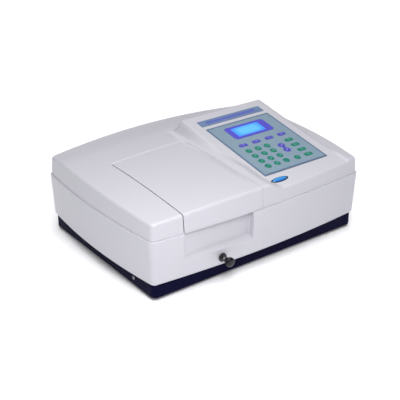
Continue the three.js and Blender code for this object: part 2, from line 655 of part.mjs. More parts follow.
function rodBush() {
  const { flangeY, flange, flangeRadius, barrelRadius, length } = BUSH;
  const collar = cylinderY(flangeY - flange, flangeY, ROD.x, ROD.z, flangeRadius, 20);
  const barrel = cylinderY(flangeY - 1, flangeY + length, ROD.x, ROD.z, barrelRadius, 20);
  return collar.add(barrel).subtract(cylinderY(-220, -100, ROD.x, ROD.z, ROD.radius + GAP, 16));
}
add(instrument, 'rod_bush', rodBush(), blackPlastic);
const rodFrontY = ROD.knobFrontY + 6;
const pullRod = cylinderY(rodFrontY, CARRIAGE.y0 - GAP, ROD.x, ROD.z, ROD.radius, 16);
add(instrument, 'pull_rod', pullRod, steel);

function pullKnob() {
  const { knobRadius: r, knobLength: length } = ROD;
  const profile = [
    [0, 0],
    [r * 0.62, 0],
    [r * 0.7, length * 0.25],
    [r * 0.98, length * 0.45],
    [r, length * 0.75],
    [r * 0.85, length * 0.93],
    [r * 0.55, length],
    [0, length],
  ];
  const knob = turned(profile, 16).rotate([90, 0, 0]).translate([ROD.x, ROD.knobFrontY + length, ROD.z]);
  return knob.subtract(cylinderY(rodFrontY - GAP, -150, ROD.x, ROD.z, ROD.radius + GAP, 16));
}
add(instrument, 'pull_knob', pullKnob(), blackPlastic);

// ---------------------------------------------------------------- rear panel
function rearPanel() {
  const { x0, x1, z0, z1, y, sheet } = REAR;
  let panel = box(x0 + GAP, x1 - GAP, y, y + sheet, z0 + GAP, z1 - GAP);
  const halfWidth = INLET.bodyWidth / 2 + GAP;
  const halfHeight = INLET.bodyHeight / 2 + GAP;
  const opening = (x, z, halfX, halfZ) => box(x - halfX, x + halfX, y - 5, y + 8, z - halfZ, z + halfZ);
  panel = panel.subtract(opening(INLET.x, INLET.z, halfWidth, halfHeight));
  panel = panel.subtract(opening(PORT.x, PORT.z, PORT.width / 2 - 4, PORT.height / 2 - 1));
  for (let slot = -3; slot <= 3; slot++) {
    const halfLength = Math.sqrt(21 ** 2 - (slot * 6) ** 2);
    panel = panel.subtract(opening(FAN.x + slot * 6, FAN.z, 1.6, halfLength));
  }
  return panel;
}
add(instrument, 'rear_panel', rearPanel(), zincPlate);

// Mains inlet moulded with the frame of the power switch.
function powerInlet() {
  const y = REAR.y + REAR.sheet + GAP;
  const { x, z, width, height, bodyWidth, bodyHeight, depth } = INLET;
  const slab = (wide, high, y0, y1) => box(x - wide / 2, x + wide / 2, y0, y1, z - high / 2, z + high / 2);
  const flange = slab(width, height, y, y + 2.5);
  const body = slab(bodyWidth, bodyHeight, y - depth, y + 1);
  const halfSocket = SOCKET.height / 2;
  const socket = box(
    SOCKET.x - SOCKET.width / 2, SOCKET.x + SOCKET.width / 2,
    y + 2.5 - SOCKET.depth, y + 5,
    z - halfSocket, z + halfSocket,
  );
  const switchHole = box(
    ROCKER.x - ROCKER.width / 2 - 0.5, ROCKER.x + ROCKER.width / 2 + 0.5,
    y - 12, y + 5,
    z - ROCKER.height / 2 - 0.8, z + ROCKER.height / 2 + 0.8,
  );
  let inlet = flange.add(body).subtract(socket).subtract(switchHole);
  for (let pin = -1; pin <= 1; pin++) {
    const pinX = SOCKET.x + pin * 7;
    const pinZ = z + (pin === 0 ? 2 : -2);
    const root = y + 2 - SOCKET.depth;
    inlet = inlet.add(box(pinX - 1, pinX + 1, root, root + SOCKET.pinLength, pinZ - 2, pinZ + 2));
  }
  return inlet;
}
add(instrument, 'power_inlet', powerInlet(), blackPlastic);

// The rocker turns about a horizontal axis inside the switch frame; it rests tipped one way.
function rockerSwitch() {
  const pivotY = REAR.y + REAR.sheet - 1;
  const half = ROCKER.height / 2 - 0.4;
  const section = [
    [-7, -3],
    [-7, 3],
    [2.2, half],
    [4, half],
    [2.8, 0],
    [4, -half],
    [2.2, -half],
  ];
  const tip = THREE.MathUtils.degToRad(ROCKER.halfTurn);
  const placed = section.map(([y, z]) => [
    pivotY + y * Math.cos(tip) - z * Math.sin(tip),
    INLET.z + y * Math.sin(tip) + z * Math.cos(tip),
  ]);
  return extrudeAlongX(placed, ROCKER.x - ROCKER.width / 2 + 0.3, ROCKER.x + ROCKER.width / 2 - 0.3);
}
add(instrument, 'rocker_switch', rockerSwitch(), blackPlastic);

function serialPort() {
  const y = REAR.y + REAR.sheet + GAP;
  const { x, z, width, height } = PORT;
  const flange = box(x - width / 2, x + width / 2, y, y + 1.5, z - height / 2, z + height / 2);
  const halfShell = width / 2 - 6;
  const shell = box(x - halfShell, x + halfShell, y - 8, y + 6, z - height / 2 + 2, z + height / 2 - 2);
  return flange.add(shell);
}
add(instrument, 'serial_port', serialPort(), zincPlate);

function fanFrame() {
  const { x, z, y, size, depth, hole, hub } = FAN;
  const half = size / 2;
  const frame = box(x - half, x + half, y, y + depth, z - half, z + half);
  const bored = frame.subtract(cylinderY(y - 1, y + depth + 1, x, z, hole, 20));
  const carrier = cylinderY(y, y + 1.5, x, z, hub, 16);
  const strut = box(x - half + 1, x + half - 1, y, y + 1.5, z - 1.5, z + 1.5);
  return bored.add(carrier).add(strut);
}
add(instrument, 'fan_frame', fanFrame(), blackPlastic);

function fanRotor() {
  const { x, z, y, depth, hub, blade, blades } = FAN;
  let rotor = cylinderY(y + 2, y + depth - 1, x, z, hub, 16);
  for (let i = 0; i < blades; i++) {
    const geometry = new THREE.BoxGeometry(blade - hub + 2, 1.2, 6);
    geometry.rotateX(THREE.MathUtils.degToRad(40));
    geometry.translate((blade + hub - 2) / 2, 0, 0);
    geometry.rotateY((i * 2 * Math.PI) / blades);
    geometry.translate(x, y + depth / 2 + 0.6, z);
    rotor = rotor.add(toSolid(geometry));
  }
  return rotor;
}
add(instrument, 'fan_rotor', fanRotor(), blackPlastic);

// ---------------------------------------------------------------- inner works
function monochromatorHousing() {
  const { x0, x1, y0, y1, z0, z1, wall } = MONO;
  let casing = box(x0, x1, y0, y1, z0, z1);
  casing = casing.subtract(box(x0 + wall, x1 - wall, y0 + wall, y1 - wall, z0 + wall, z1 + 1));
  casing = casing.subtract(cylinderX(x0 - 1, x0 + wall + 1, BEAM.y, BEAM.z, 5, 16));
  const entranceX = WHEEL.x - WHEEL.holeRing;
  return casing.subtract(cylinderY(y1 - wall - 1, y1 + 1, entranceX, WHEEL.z, 4, 16));
}
add(instrument, 'monochromator_housing', monochromatorHousing(), aluminium);

function gratingMount() {
  const { z, tableRadius, blockWidth } = GRATING;
  const floor = MONO.z0 + MONO.wall + GAP;
  const table = cylinderZ(floor, floor + 6, 0, 0, tableRadius, 20);
  const post = cylinderZ(floor, z - 12, 0, 0, 7, 16);
  const block = box(-blockWidth / 2, blockWidth / 2, -6, 6, z - 16, z + 16);
  return table.add(post).add(block);
}
add(instrument, 'grating_mount', gratingMount(), steel, [GRATING.x, GRATING.y, 0]);

function filterWheel() {
  const { x, y, z, radius, thick, holes, holeRing, holeRadius } = WHEEL;
  let wheel = cylinderY(y, y + thick, x, z, radius, 24);
  wheel = wheel.add(cylinderY(y - 3, y + thick + 12, x, z, 6, 12));
  for (let i = 0; i < holes; i++) {
    const angle = Math.PI + (i * 2 * Math.PI) / holes;
    const holeX = x + holeRing * Math.cos(angle);
    const holeZ = z + holeRing * Math.sin(angle);
    wheel = wheel.subtract(cylinderY(y - 1, y + thick + 1, holeX, holeZ, holeRadius, 10));
  }
  return wheel;
}
add(instrument, 'filter_wheel', filterWheel(), blackAnodised);

function lampHouse() {
  const { x0, x1, y0, y1, z0, z1 } = LAMP;
  let house = box(x0, x1, y0, y1, z0, z1);
  const finPitch = 12;
  for (let x = x0 + 5; x + 7 < x1; x += finPitch) {
    house = house.subtract(box(x, x + 7, y0 - 1, y1 + 1, z1 - 14, z1 + 1));
  }
  return house.subtract(cylinderY(y0 - 1, y0 + 30, WHEEL.x - WHEEL.holeRing, WHEEL.z, 9, 20));
}
add(instrument, 'lamp_house', lampHouse(), aluminium);

function powerSupply() {
  const { x0, x1, y0, y1, z0, z1 } = SUPPLY;
  let supply = box(x0, x1, y0, y1, z0, z1);
  for (let x = x0 + 15; x < x1 - 15; x += 12) {
    supply = supply.subtract(box(x, x + 5, y0 + 12, y1 - 12, z1 - 6, z1 + 1));
  }
  return supply;
}
add(instrument, 'power_supply', powerSupply(), zincPlate);

function detectorBox() {
  const { x0, x1, y0, y1, z0, z1 } = DETECTOR;
  return box(x0, x1, y0, y1, z0, z1).subtract(cylinderX(x1 - 25, x1 + 1, BEAM.y, BEAM.z, 5, 16));
}
add(instrument, 'detector_box', detectorBox(), blackAnodised);

function mainBoard() {
  const { x0, x1, y0, y1, z, thick } = BOARD;
  let board = box(x0, x1, y0, y1, z, z + thick);
  const chips = [
    [30, 30, 28, 28],
    [80, 50, 20, 34],
    [118, 24, 16, 16],
    [40, 110, 24, 12],
    [100, 130, 36, 18],
  ];
  for (const [dx, dy, width, depth] of chips) {
    board = board.add(box(x0 + dx, x0 + dx + width, y0 + dy, y0 + dy + depth, z + thick / 2, z + thick + 4));
  }
  return board;
}
add(instrument, 'main_board', mainBoard(), boardGreen);

export default instrument;
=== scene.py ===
"""The looks of a bench spectrophotometer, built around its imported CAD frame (Blender 4.5).

Shapes are worked out in millimetres in the instrument's own frame: its origin is at the middle of
the base tray's underside, +X to the instrument's right, +Y to its back, +Z up. The console's
pieces are worked out in the console's frame: u to the right, v up the slope, w out of the surface.
"""
import json
import math

import bpy
import numpy as np
from mathutils import Matrix, Vector
from mathutils.geometry import tessellate_polygon


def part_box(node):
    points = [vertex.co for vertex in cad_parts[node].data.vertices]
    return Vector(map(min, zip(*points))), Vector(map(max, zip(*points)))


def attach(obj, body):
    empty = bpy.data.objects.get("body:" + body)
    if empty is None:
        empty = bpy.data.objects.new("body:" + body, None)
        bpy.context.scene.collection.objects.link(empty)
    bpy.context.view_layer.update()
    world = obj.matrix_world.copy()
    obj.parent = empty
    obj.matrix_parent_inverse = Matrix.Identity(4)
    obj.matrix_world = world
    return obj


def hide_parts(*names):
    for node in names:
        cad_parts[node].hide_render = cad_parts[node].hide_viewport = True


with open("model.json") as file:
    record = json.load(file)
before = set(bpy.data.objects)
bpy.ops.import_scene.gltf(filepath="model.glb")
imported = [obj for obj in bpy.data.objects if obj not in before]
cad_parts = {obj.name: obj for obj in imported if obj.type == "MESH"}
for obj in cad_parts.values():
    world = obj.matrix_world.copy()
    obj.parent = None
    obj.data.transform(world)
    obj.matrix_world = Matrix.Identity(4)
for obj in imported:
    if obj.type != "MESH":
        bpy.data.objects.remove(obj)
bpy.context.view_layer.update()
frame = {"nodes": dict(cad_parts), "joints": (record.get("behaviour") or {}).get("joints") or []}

# ------------------------------------------------------------------ places from the frame
MM = 0.001
tray_low, tray_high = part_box("base_tray")
ORIGIN = Vector((0, (tray_low.y + tray_high.y) / 2, tray_low.z))
TRAY_X = tray_high.x / MM
TRAY_Y = (tray_high.y - ORIGIN.y) / MM
TRAY_TOP = (tray_high.z - ORIGIN.z) / MM


def cad_box(node):
    """A CAD node's lowest and highest corners in the instrument's frame, in millimetres."""
    low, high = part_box(node)
    return (low - ORIGIN) / MM, (high - ORIGIN) / MM


press = next(j for j in frame["joints"] if j["name"] == "press_digit_1_1")
TILT = math.asin(press["axis"][1])

# ------------------------------------------------------------------ driving dimensions
WALL = 2.6
OUTLINE = dict(corner_x=234.5, corner_y=172.8, bulge_x=12.4, bulge_y=12.6, fillet=14.0)
CORNER_STEPS = 12
PARTING_Z = 110.7
HOUSING = dict(bottom=26.2, draft=3.2, round=5.0, rim=1.6, lip=12.0)
WALL_TOP = PARTING_Z - HOUSING["rim"]
COVER = dict(bottom=110.76, ledge=2.2, draft=2.3, edge=5.0)
CROWN = dict(base=138.0, rise_x=12.0, span_x=240.0, rise_y=12.0, span_y=231.0, peak_y=50.0)
BACK_FALL = dict(depth=3.6, y=(105.0, 175.0))
CONSOLE = dict(origin_y=-181.0, origin_z=136.0, left=-5.0, crease=14.5, right=205.0, back=88.0)
VALLEY = dict(depth=2.6, start=-24.0, deepest=-9.0, end=10.0, front=(-172.0, -95.0), back=(78.0, 112.0))
LEFT_SLOPE = dict(
    flare=(-30.0, -110.0), start_shift=6.0, crease_shift=14.0, front=(-140.0, -180.0), ease=1.25
)
RIGHT_SLOPE = dict(foot=4.0, steepness=0.4, soft=3.0)
BACK_SLOPE = dict(foot=3.0, steepness=0.62)
LID = dict(x0=-171.5, x1=-8.8, y1=46.5, bottom=111.2)
OPENING = dict(x0=-172.8, x1=-8.3, y1=47.3)
SEAM = dict(round=0.7, back_round=3.2, marks=(0, 0.1, 0.3, 0.55, 0.8), back_marks=(1.1, 1.6, 2.2, 3.2))
ARM_SLOTS = ((-168.6, -161.4), (-16.6, -8.3))
SLOT_TOP = 152.0
SKIRT_BOTTOM = 110.2
RECESS = dict(
    x0=-173.0, x1=-29.4, back=-172.0, floor=65.0, slope=0.55, fillet=3.0, draft=0.8, mouth=8.0,
    blend=2.6, rim=1.3,
)
DIMPLE = dict(depth=2.0, width=14.0, z=(76.0, 109.0))
REAR = dict(x0=-137.0, x1=177.0, z0=39.0, z1=97.0, depth=170.2)
ROD_X, ROD_Z, ROD_HOLE = -96.0, 43.0, 5.6
KEYPAD = dict(x0=33.0, x1=185.6, y0=45.2, y1=223.0, radius=2.7)
HEADER = dict(x0=33.0, x1=185.5, y0=233.0, y1=252.8, radius=1.5)
BEZEL = dict(x0=64.0, x1=159.0, y0=166.6, y1=209.3, radius=7.0)
SCREEN = dict(x0=76.5, x1=142.5, y0=173.7, y1=203.7, radius=1.0)
POCKET_DEPTH = 1.5
POCKET_GAP = 0.3
POCKET_WALL = 0.05
WINDOW_INSET = 8.0
PITCH = dict(
    bank=0.8, bank_width=20.0, valley=1.3, valley_x0=-24.0, valley_x1=34.0, side_x=200.0, wide=3.4,
    crest=1.5, crest_y0=80.0, crest_y1=112.0, deep=2.4,
)
WALL_STEPS = 7
TRAY_SCREW = (-107.6, 14.4)
FRONT_SIDE = -100.0
CAMERA = dict(lens=82.14, place=(-0.9375, -1.2394, 0.8325), heading=(0.53401, 0.71914, -0.44459))
KEY_TOP = 1.3
KEY_DOME = 0.22
KEY_EDGE = dict(round=0.55, rise=0.396)
KEY_FLANGE = 1.0
KEY_GAP = 0.35
KEY_BARS = dict(function=dict(half_y=4.25, corner=2.4), mode=dict(half_y=4.5, corner=3.0))


# ------------------------------------------------------------------ outline
def smoothstep(low, high, value):
    t = np.clip((value - low) / (high - low), 0, 1)
    return t * t * (3 - 2 * t)


class Outline:
    """The housing's outline moved inwards: four shallow arcs joined by corner fillets."""

    def __init__(self, inset):
        cx, cy, bx, by = (OUTLINE[k] for k in ("corner_x", "corner_y", "bulge_x", "bulge_y"))
        self.side_radius = (cy**2 + bx**2) / (2 * bx) - inset
        self.front_radius = (cx**2 + by**2) / (2 * by) - inset
        self.side_centre = cx + bx - inset - self.side_radius
        self.front_centre = cy + by - inset - self.front_radius
        self.fillet = max(OUTLINE["fillet"] - inset, 0.5)
        r1, r2 = self.side_radius - self.fillet, self.front_radius - self.fillet
        distance = math.hypot(self.side_centre, self.front_centre)
        along = (r1**2 - r2**2 + distance**2) / (2 * distance)
        across = math.sqrt(r1**2 - along**2)
        ux, uy = -self.side_centre / distance, self.front_centre / distance
        self.corner = (self.side_centre + along * ux - across * uy, along * uy + across * ux)
        self.side_end = math.atan2(self.corner[1], self.corner[0] - self.side_centre)
        self.front_end = math.atan2(self.corner[1] - self.front_centre, self.corner[0])

    def side_x(self, y):
        return self.side_centre + np.sqrt(self.side_radius**2 - np.square(y))

    def front_y(self, x):
        return self.front_centre + np.sqrt(self.front_radius**2 - np.square(x))

    def limits(self):
        """Where the side arc's y and the front arc's x end."""
        return self.side_radius * math.sin(self.side_end), self.front_radius * math.cos(self.front_end)

    def ring(self, xs, ys, corner_steps):
        """Counter-clockwise points: xs and ys are the places along the front and side arcs."""
        corner = [
            (self.corner[0] + self.fillet * math.cos(a), self.corner[1] + self.fillet * math.sin(a))
            for a in np.linspace(self.side_end, self.front_end, corner_steps)
        ]
        points = [(float(self.side_x(y)), y) for y in ys] + corner
        points += [(x, float(self.front_y(x))) for x in reversed(xs)]
        points += [(-x, y) for x, y in reversed(corner)]
        points += [(-float(self.side_x(y)), y) for y in reversed(ys)]
        points += [(-x, -y) for x, y in corner]
        points += [(x, -float(self.front_y(x))) for x in xs]
        points += [(x, -y) for x, y in reversed(corner)]
        return np.array(points)


# ------------------------------------------------------------------ top surface
def crown(x, y):
    along_x = 1 - np.square(x / CROWN["span_x"])
    along_y = 1 - np.square((y - CROWN["peak_y"]) / CROWN["span_y"])
    fall = BACK_FALL["depth"] * smoothstep(*BACK_FALL["y"], y)
    return CROWN["base"] + CROWN["rise_x"] * along_x + CROWN["rise_y"] * along_y - fall


def console_plane(y):
    return CONSOLE["origin_z"] + (y - CONSOLE["origin_y"]) * math.tan(TILT)


def console_y(v):
    """The y of a place v up the console's slope."""
    return CONSOLE["origin_y"] + v * math.cos(TILT)


def top_height(x, y):
    """The cover's height: the crown, the console's plane, and the slopes between them."""
    bowl = crown(x, y)
    plane = console_plane(np.minimum(y, CONSOLE["back"]))
    groove = smoothstep(VALLEY["start"], VALLEY["deepest"], x)
    groove = groove * (1 - smoothstep(VALLEY["deepest"], VALLEY["end"], x))
    groove = groove * (1 - smoothstep(*VALLEY["back"], y))
    groove = groove * smoothstep(*VALLEY["front"], y)
    base = bowl - VALLEY["depth"] * groove
    flare = smoothstep(*LEFT_SLOPE["flare"], y)
    widening = flare + smoothstep(*LEFT_SLOPE["front"], y)
    start = CONSOLE["left"] + LEFT_SLOPE["start_shift"] * flare
    crease = CONSOLE["crease"] + LEFT_SLOPE["crease_shift"] * widening
    enter = smoothstep(0, 1, np.clip((x - start) / (crease - start), 0, 1) ** LEFT_SLOPE["ease"])
    bank = RIGHT_SLOPE["foot"] + RIGHT_SLOPE["steepness"] * np.hypot(plane - bowl, RIGHT_SLOPE["soft"])
    leave = 1 - smoothstep(CONSOLE["right"], CONSOLE["right"] + bank, x)
    fall = np.maximum(plane - bowl, 0) * BACK_SLOPE["steepness"] + BACK_SLOPE["foot"]
    back = 1 - smoothstep(CONSOLE["back"], CONSOLE["back"] + fall, y)
    return base + (plane - base) * enter * leave * back


def pocket_step(x, y, window):
    """How far the skin drops under a console panel. Close pairs of lattice lines make the walls."""
    v = (y - CONSOLE["origin_y"]) / math.cos(TILT)
    edge = POCKET_GAP + 0.02
    inside = (x > window["x0"] - edge) & (x < window["x1"] + edge)
    inside &= (v > window["y0"] - edge) & (v < window["y1"] + edge)
    return np.where(inside, POCKET_DEPTH, 0.0)


# ------------------------------------------------------------------ meshes and pieces
def make_object(name, vertices, faces, matrix=None):
    """A mesh object from millimetres: in the instrument's frame, or in matrix's where given."""
    mesh = bpy.data.meshes.new(name)
    points = np.asarray(vertices, float) * MM
    if matrix is None:
        points = points + np.array(ORIGIN)
    mesh.from_pydata([tuple(p) for p in points], [], [tuple(f) for f in faces])
    obj = bpy.data.objects.new(name, mesh)
    bpy.context.scene.collection.objects.link(obj)
    if matrix is not None:
        obj.matrix_world = matrix
    return obj


def thicken(obj, thickness):
    """Gives a skin its wall, inwards from the surface that was built."""
    modifier = obj.modifiers.new("wall", "SOLIDIFY")
    modifier.thickness = thickness * MM
    modifier.offset = -1
    modifier.use_even_offset = False
    graph = bpy.context.evaluated_depsgraph_get()
    mesh = bpy.data.meshes.new_from_object(obj.evaluated_get(graph))
    obj.modifiers.clear()
    obj.data = mesh


def finish_piece(obj, material, body="instrument", slot=None, replaces=(), sharp=38, flat_caps=False):
    """Shading, material and body of a piece; its slot is not used. A plate's caps are its only triangles."""
    mesh = obj.data
    mesh.validate()
    mesh.shade_smooth()
    mesh.set_sharp_from_angle(angle=math.radians(sharp))
    if flat_caps:
        for face in mesh.polygons:
            face.use_smooth = len(face.vertices) > 3
    mesh.materials.clear()
    mesh.materials.append(material)
    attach(obj, body)
    if replaces:
        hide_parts(*replaces)
    return obj


class Shape:
    """Vertices and faces gathered from several closed parts, and each face's ink."""

    def __init__(self):
        self.vertices = []
        self.faces = []
        self.inks = []

    def add(self, vertices, faces, ink=0):
        start = len(self.vertices)
        self.vertices.extend([tuple(v) for v in vertices])
        self.faces.extend([tuple(start + i for i in face) for face in faces])
        self.inks.extend([ink] * len(faces))
        return self


def band(count, lower, upper):
    """Quads between two rings of the same count, given the rings' first indices."""
    return [
        (lower + i, lower + (i + 1) % count, upper + (i + 1) % count, upper + i)
        for i in range(count)
    ]


def loft(rings, close_bottom=True, close_top=True):
    """Vertices and faces through rings of equal count, closed with fans at its ends."""
    count = len(rings[0])
    vertices = [tuple(p) for ring in rings for p in ring]
    faces = []
    for level in range(len(rings) - 1):
        faces += band(count, level * count, (level + 1) * count)
    if close_bottom:
        vertices.append(tuple(np.mean(rings[0], axis=0)))
        middle = len(vertices) - 1
        faces += [(middle, (i + 1) % count, i) for i in range(count)]
    if close_top:
        vertices.append(tuple(np.mean(rings[-1], axis=0)))
        middle, last = len(vertices) - 1, (len(rings) - 1) * count
        faces += [(middle, last + i, last + (i + 1) % count) for i in range(count)]
    return vertices, faces


def turned_rings(profile, steps):
    """Rings about Z from (radius, height) points."""
    angles = np.linspace(0, 2 * math.pi, steps + 1)[:-1]
    return [[(r * math.cos(a), r * math.sin(a), z) for a in angles] for r, z in profile]


def turned(profile, steps=48):
    """A solid of revolution about Z; its profile's ends lie near the axis."""
    return loft(turned_rings(profile, steps))


def rounded_profile(points, radius, steps=4):
    """A polyline of (radius, height) points with its inner corners rounded."""
    result = [points[0]]
    for before, corner, after in zip(points, points[1:], points[2:]):
        p, q, r = (np.array(v, float) for v in (before, corner, after))
        reach = min(radius, np.linalg.norm(p - q) * 0.45, np.linalg.norm(r - q) * 0.45)
        start = q + (p - q) / np.linalg.norm(p - q) * reach
        end = q + (r - q) / np.linalg.norm(r - q) * reach
        for t in np.linspace(0, 1, steps):
            result.append(tuple((1 - t) ** 2 * start + 2 * t * (1 - t) * q + t**2 * end))
    result.append(points[-1])
    return result


def rounded_loop(x0, x1, y0, y1, radius, inset=0.0, steps=7):
    """A rounded rectangle's points, counter-clockwise, moved inwards by inset."""
    x0, x1, y0, y1 = x0 + inset, x1 - inset, y0 + inset, y1 - inset
    r = max(radius - inset, 0.05)
    corners = ((x1 - r, y0 + r, -90), (x1 - r, y1 - r, 0), (x0 + r, y1 - r, 90), (x0 + r, y0 + r, 180))
    points = []
    for cx, cy, start in corners:
        for i in range(steps):
            a = math.radians(start + 90 * i / (steps - 1))
            points.append((cx + r * math.cos(a), cy + r * math.sin(a)))
    return points


def circle_loop(cx, cy, radius, inset=0.0, steps=40):
    r = radius - inset
    angles = [2 * math.pi * i / steps for i in range(steps)]
    return [(cx + r * math.cos(a), cy + r * math.sin(a)) for a in angles]


def plate(outer, holes, low, high, bevel):
    """A flat plate with soft upper edges. outer and holes are functions of an inset."""
    arc = [math.radians(a) for a in (0, 30, 60, 90)]
    levels = [(0.0, low)]
    levels += [(bevel * (1 - math.cos(a)), high - bevel * (1 - math.sin(a))) for a in arc]
    vertices, faces, first_rings = [], [], []
    for index, loop in enumerate([outer, *holes]):
        sign = -1 if index else 1
        start = len(vertices)
        for inset, z in levels:
            ring = loop(sign * inset)
            vertices += [(x, y, z) for x, y in ring]
        count = len(ring)
        first_rings.append((start, count))
        for level in range(len(levels) - 1):
            quads = band(count, start + level * count, start + (level + 1) * count)
            faces += quads if index == 0 else [q[::-1] for q in quads]
    for level, flip in ((0, True), (len(levels) - 1, False)):
        loops, index_of = [], []
        for start, count in first_rings:
            first = start + level * count
            loops.append([Vector(vertices[first + i]) for i in range(count)])
            index_of += range(first, first + count)
        for triangle in tessellate_polygon(loops):
            a, b, c = (index_of[i] for i in triangle)
            va, vb, vc = (Vector(vertices[i]) for i in (a, b, c))
            upward = (vb - va).cross(vc - va).z > 0
            faces.append((a, b, c) if upward != flip else (c, b, a))
    return vertices, faces


# ------------------------------------------------------------------ materials
def srgb(red, green, blue):
    """A linear colour from 0-255 sRGB values."""
    def linear(value):
        c = value / 255
        return c / 12.92 if c <= 0.04045 else ((c + 0.055) / 1.055) ** 2.4

    return (linear(red), linear(green), linear(blue), 1.0)


def shade(color, factor):
    return tuple(min(c * factor, 1) for c in color[:3]) + (1.0,)


class Nodes:
    """A material's node tree, built round one Principled shader."""

    def __init__(self, name, color, roughness, metallic=0.0, coat=0.0, coat_roughness=0.1, specular=0.5):
        self.material = bpy.data.materials.new(name)
        self.material.use_nodes = True
        self.material.diffuse_color = color
        self.tree = self.material.node_tree
        self.shader = self.tree.nodes["Principled BSDF"]
        self.set("Base Color", color)
        self.set("Roughness", roughness)
        self.set("Metallic", metallic)
        self.set("Coat Weight", coat)
        self.set("Coat Roughness", coat_roughness)
        self.set("Specular IOR Level", specular)
        self.place = self.node("ShaderNodeTexCoord").outputs["Object"]
        self.bump_normal = None

    def set(self, socket, value):
        self.shader.inputs[socket].default_value = value

    def node(self, kind, **inputs):
        made = self.tree.nodes.new(kind)
        for key, value in inputs.items():
            made.inputs[key.replace("_", " ")].default_value = value
        return made

    def link(self, source, target):
        self.tree.links.new(source, target)

    def paint(self, source):
        """Sends a colour to the shader."""
        self.link(source, self.shader.inputs["Base Color"])

    def axes(self):
        """The place's own X and Y, in metres."""
        split = self.node("ShaderNodeSeparateXYZ")
        self.link(self.place, split.inputs[0])
        return split.outputs["X"], split.outputs["Y"]

    def noise(self, scale, detail=3.0, roughness=0.55):
        made = self.node("ShaderNodeTexNoise", Scale=scale, Detail=detail, Roughness=roughness)
        self.link(self.place, made.inputs["Vector"])
        return made.outputs["Fac"]

    def math(self, operation, a, b=None, clamp=False):
        made = self.tree.nodes.new("ShaderNodeMath")
        made.operation = operation
        made.use_clamp = clamp
        for socket, value in zip(made.inputs, (a, b)):
            if isinstance(value, (int, float)):
                socket.default_value = value
            elif value is not None:
                self.link(value, socket)
        return made.outputs[0]

    def mix(self, factor, a, b):
        made = self.tree.nodes.new("ShaderNodeMix")
        made.data_type = "RGBA"
        for socket, value in ((made.inputs[0], factor), (made.inputs[6], a), (made.inputs[7], b)):
            if isinstance(value, (tuple, float)):
                socket.default_value = value
            else:
                self.link(value, socket)
        return made.outputs[2]

    def spread(self, source, low, high, target="Roughness", source_low=0.3, source_high=0.7):
        """Sends source to a shader socket, from low to high."""
        made = self.node("ShaderNodeMapRange")
        limits = (("From Min", source_low), ("From Max", source_high), ("To Min", low), ("To Max", high))
        for key, value in limits:
            made.inputs[key].default_value = value
        self.link(source, made.inputs["Value"])
        self.link(made.outputs["Result"], self.shader.inputs[target])

    def bump(self, source, distance):
        """Adds a bump of the given height in millimetres."""
        made = self.node("ShaderNodeBump", Strength=1.0, Distance=distance * MM)
        self.link(source, made.inputs["Height"])
        if self.bump_normal:
            self.link(self.bump_normal, made.inputs["Normal"])
        self.bump_normal = made.outputs["Normal"]
        self.link(self.bump_normal, self.shader.inputs["Normal"])

    def within(self, axis, centre, half, soft):
        """1 within half of centre along an axis, falling to 0 over a soft edge, in millimetres."""
        distance = self.math("ABSOLUTE", self.math("SUBTRACT", axis, centre * MM))
        room = self.math("SUBTRACT", half * MM, distance)
        return self.math("MULTIPLY", room, 1 / (soft * MM), clamp=True)


def moulded(name, color, roughness, grain=0.02, variation=0.03, coat=0.0, specular=0.5):
    """Moulded plastic: a fine spark texture, slow colour drift and uneven gloss."""
    n = Nodes(name, color, roughness, coat=coat, specular=specular)
    n.paint(n.mix(n.noise(9.0, 2.0), shade(color, 1 - variation), shade(color, 1 + variation)))
    n.spread(n.noise(55.0, 4.0), roughness - 0.03, roughness + 0.04)
    n.bump(n.noise(2600.0, 2.0, 0.6), grain)
    return n.material


def metal(name, color, roughness, brushed=False, metallic=1.0, grain=0.004):
    """Metal with fine scratches along X, or a bead-blasted grain."""
    n = Nodes(name, color, roughness, metallic=metallic)
    if brushed:
        stretch = n.node("ShaderNodeMapping", Scale=(12, 900, 900))
        n.link(n.place, stretch.inputs["Vector"])
        streaks = n.node("ShaderNodeTexNoise", Scale=1.0, Detail=4.0)
        n.link(stretch.outputs["Vector"], streaks.inputs["Vector"])
        source, reach = streaks.outputs["Fac"], 0.04
    else:
        source, reach = n.noise(1800.0, 3.0), 0.1
    n.spread(source, roughness - 0.7 * reach, roughness + reach)
    n.bump(source, grain)
    n.paint(n.mix(n.noise(24.0, 3.0), shade(color, 0.9), shade(color, 1.05)))
    return n.material


def powder_coat(name, color):
    """Powder-coated sheet steel: an orange-peel surface with a satin gloss."""
    n = Nodes(name, color, 0.5, specular=0.03)
    n.bump(n.noise(700.0, 1.5, 0.4), 0.03)
    n.bump(n.noise(3200.0, 2.0, 0.6), 0.01)
    n.spread(n.noise(80.0, 3.0), 0.44, 0.56)
    n.paint(n.mix(n.noise(14.0, 2.0), shade(color, 0.85), shade(color, 1.2)))
    return n.material


def rubber(name):
    color = srgb(24, 24, 25)
    n = Nodes(name, color, 0.85, specular=0.3)
    n.bump(n.noise(900.0, 3.0), 0.04)
    n.paint(n.mix(n.noise(120.0, 4.0), color, srgb(44, 43, 42)))
    return n.material


def middle_and_half(window):
    """A window's middle and half sizes."""
    middle = ((window["x0"] + window["x1"]) / 2, (window["y0"] + window["y1"]) / 2)
    return middle, ((window["x1"] - window["x0"]) / 2, (window["y1"] - window["y0"]) / 2)


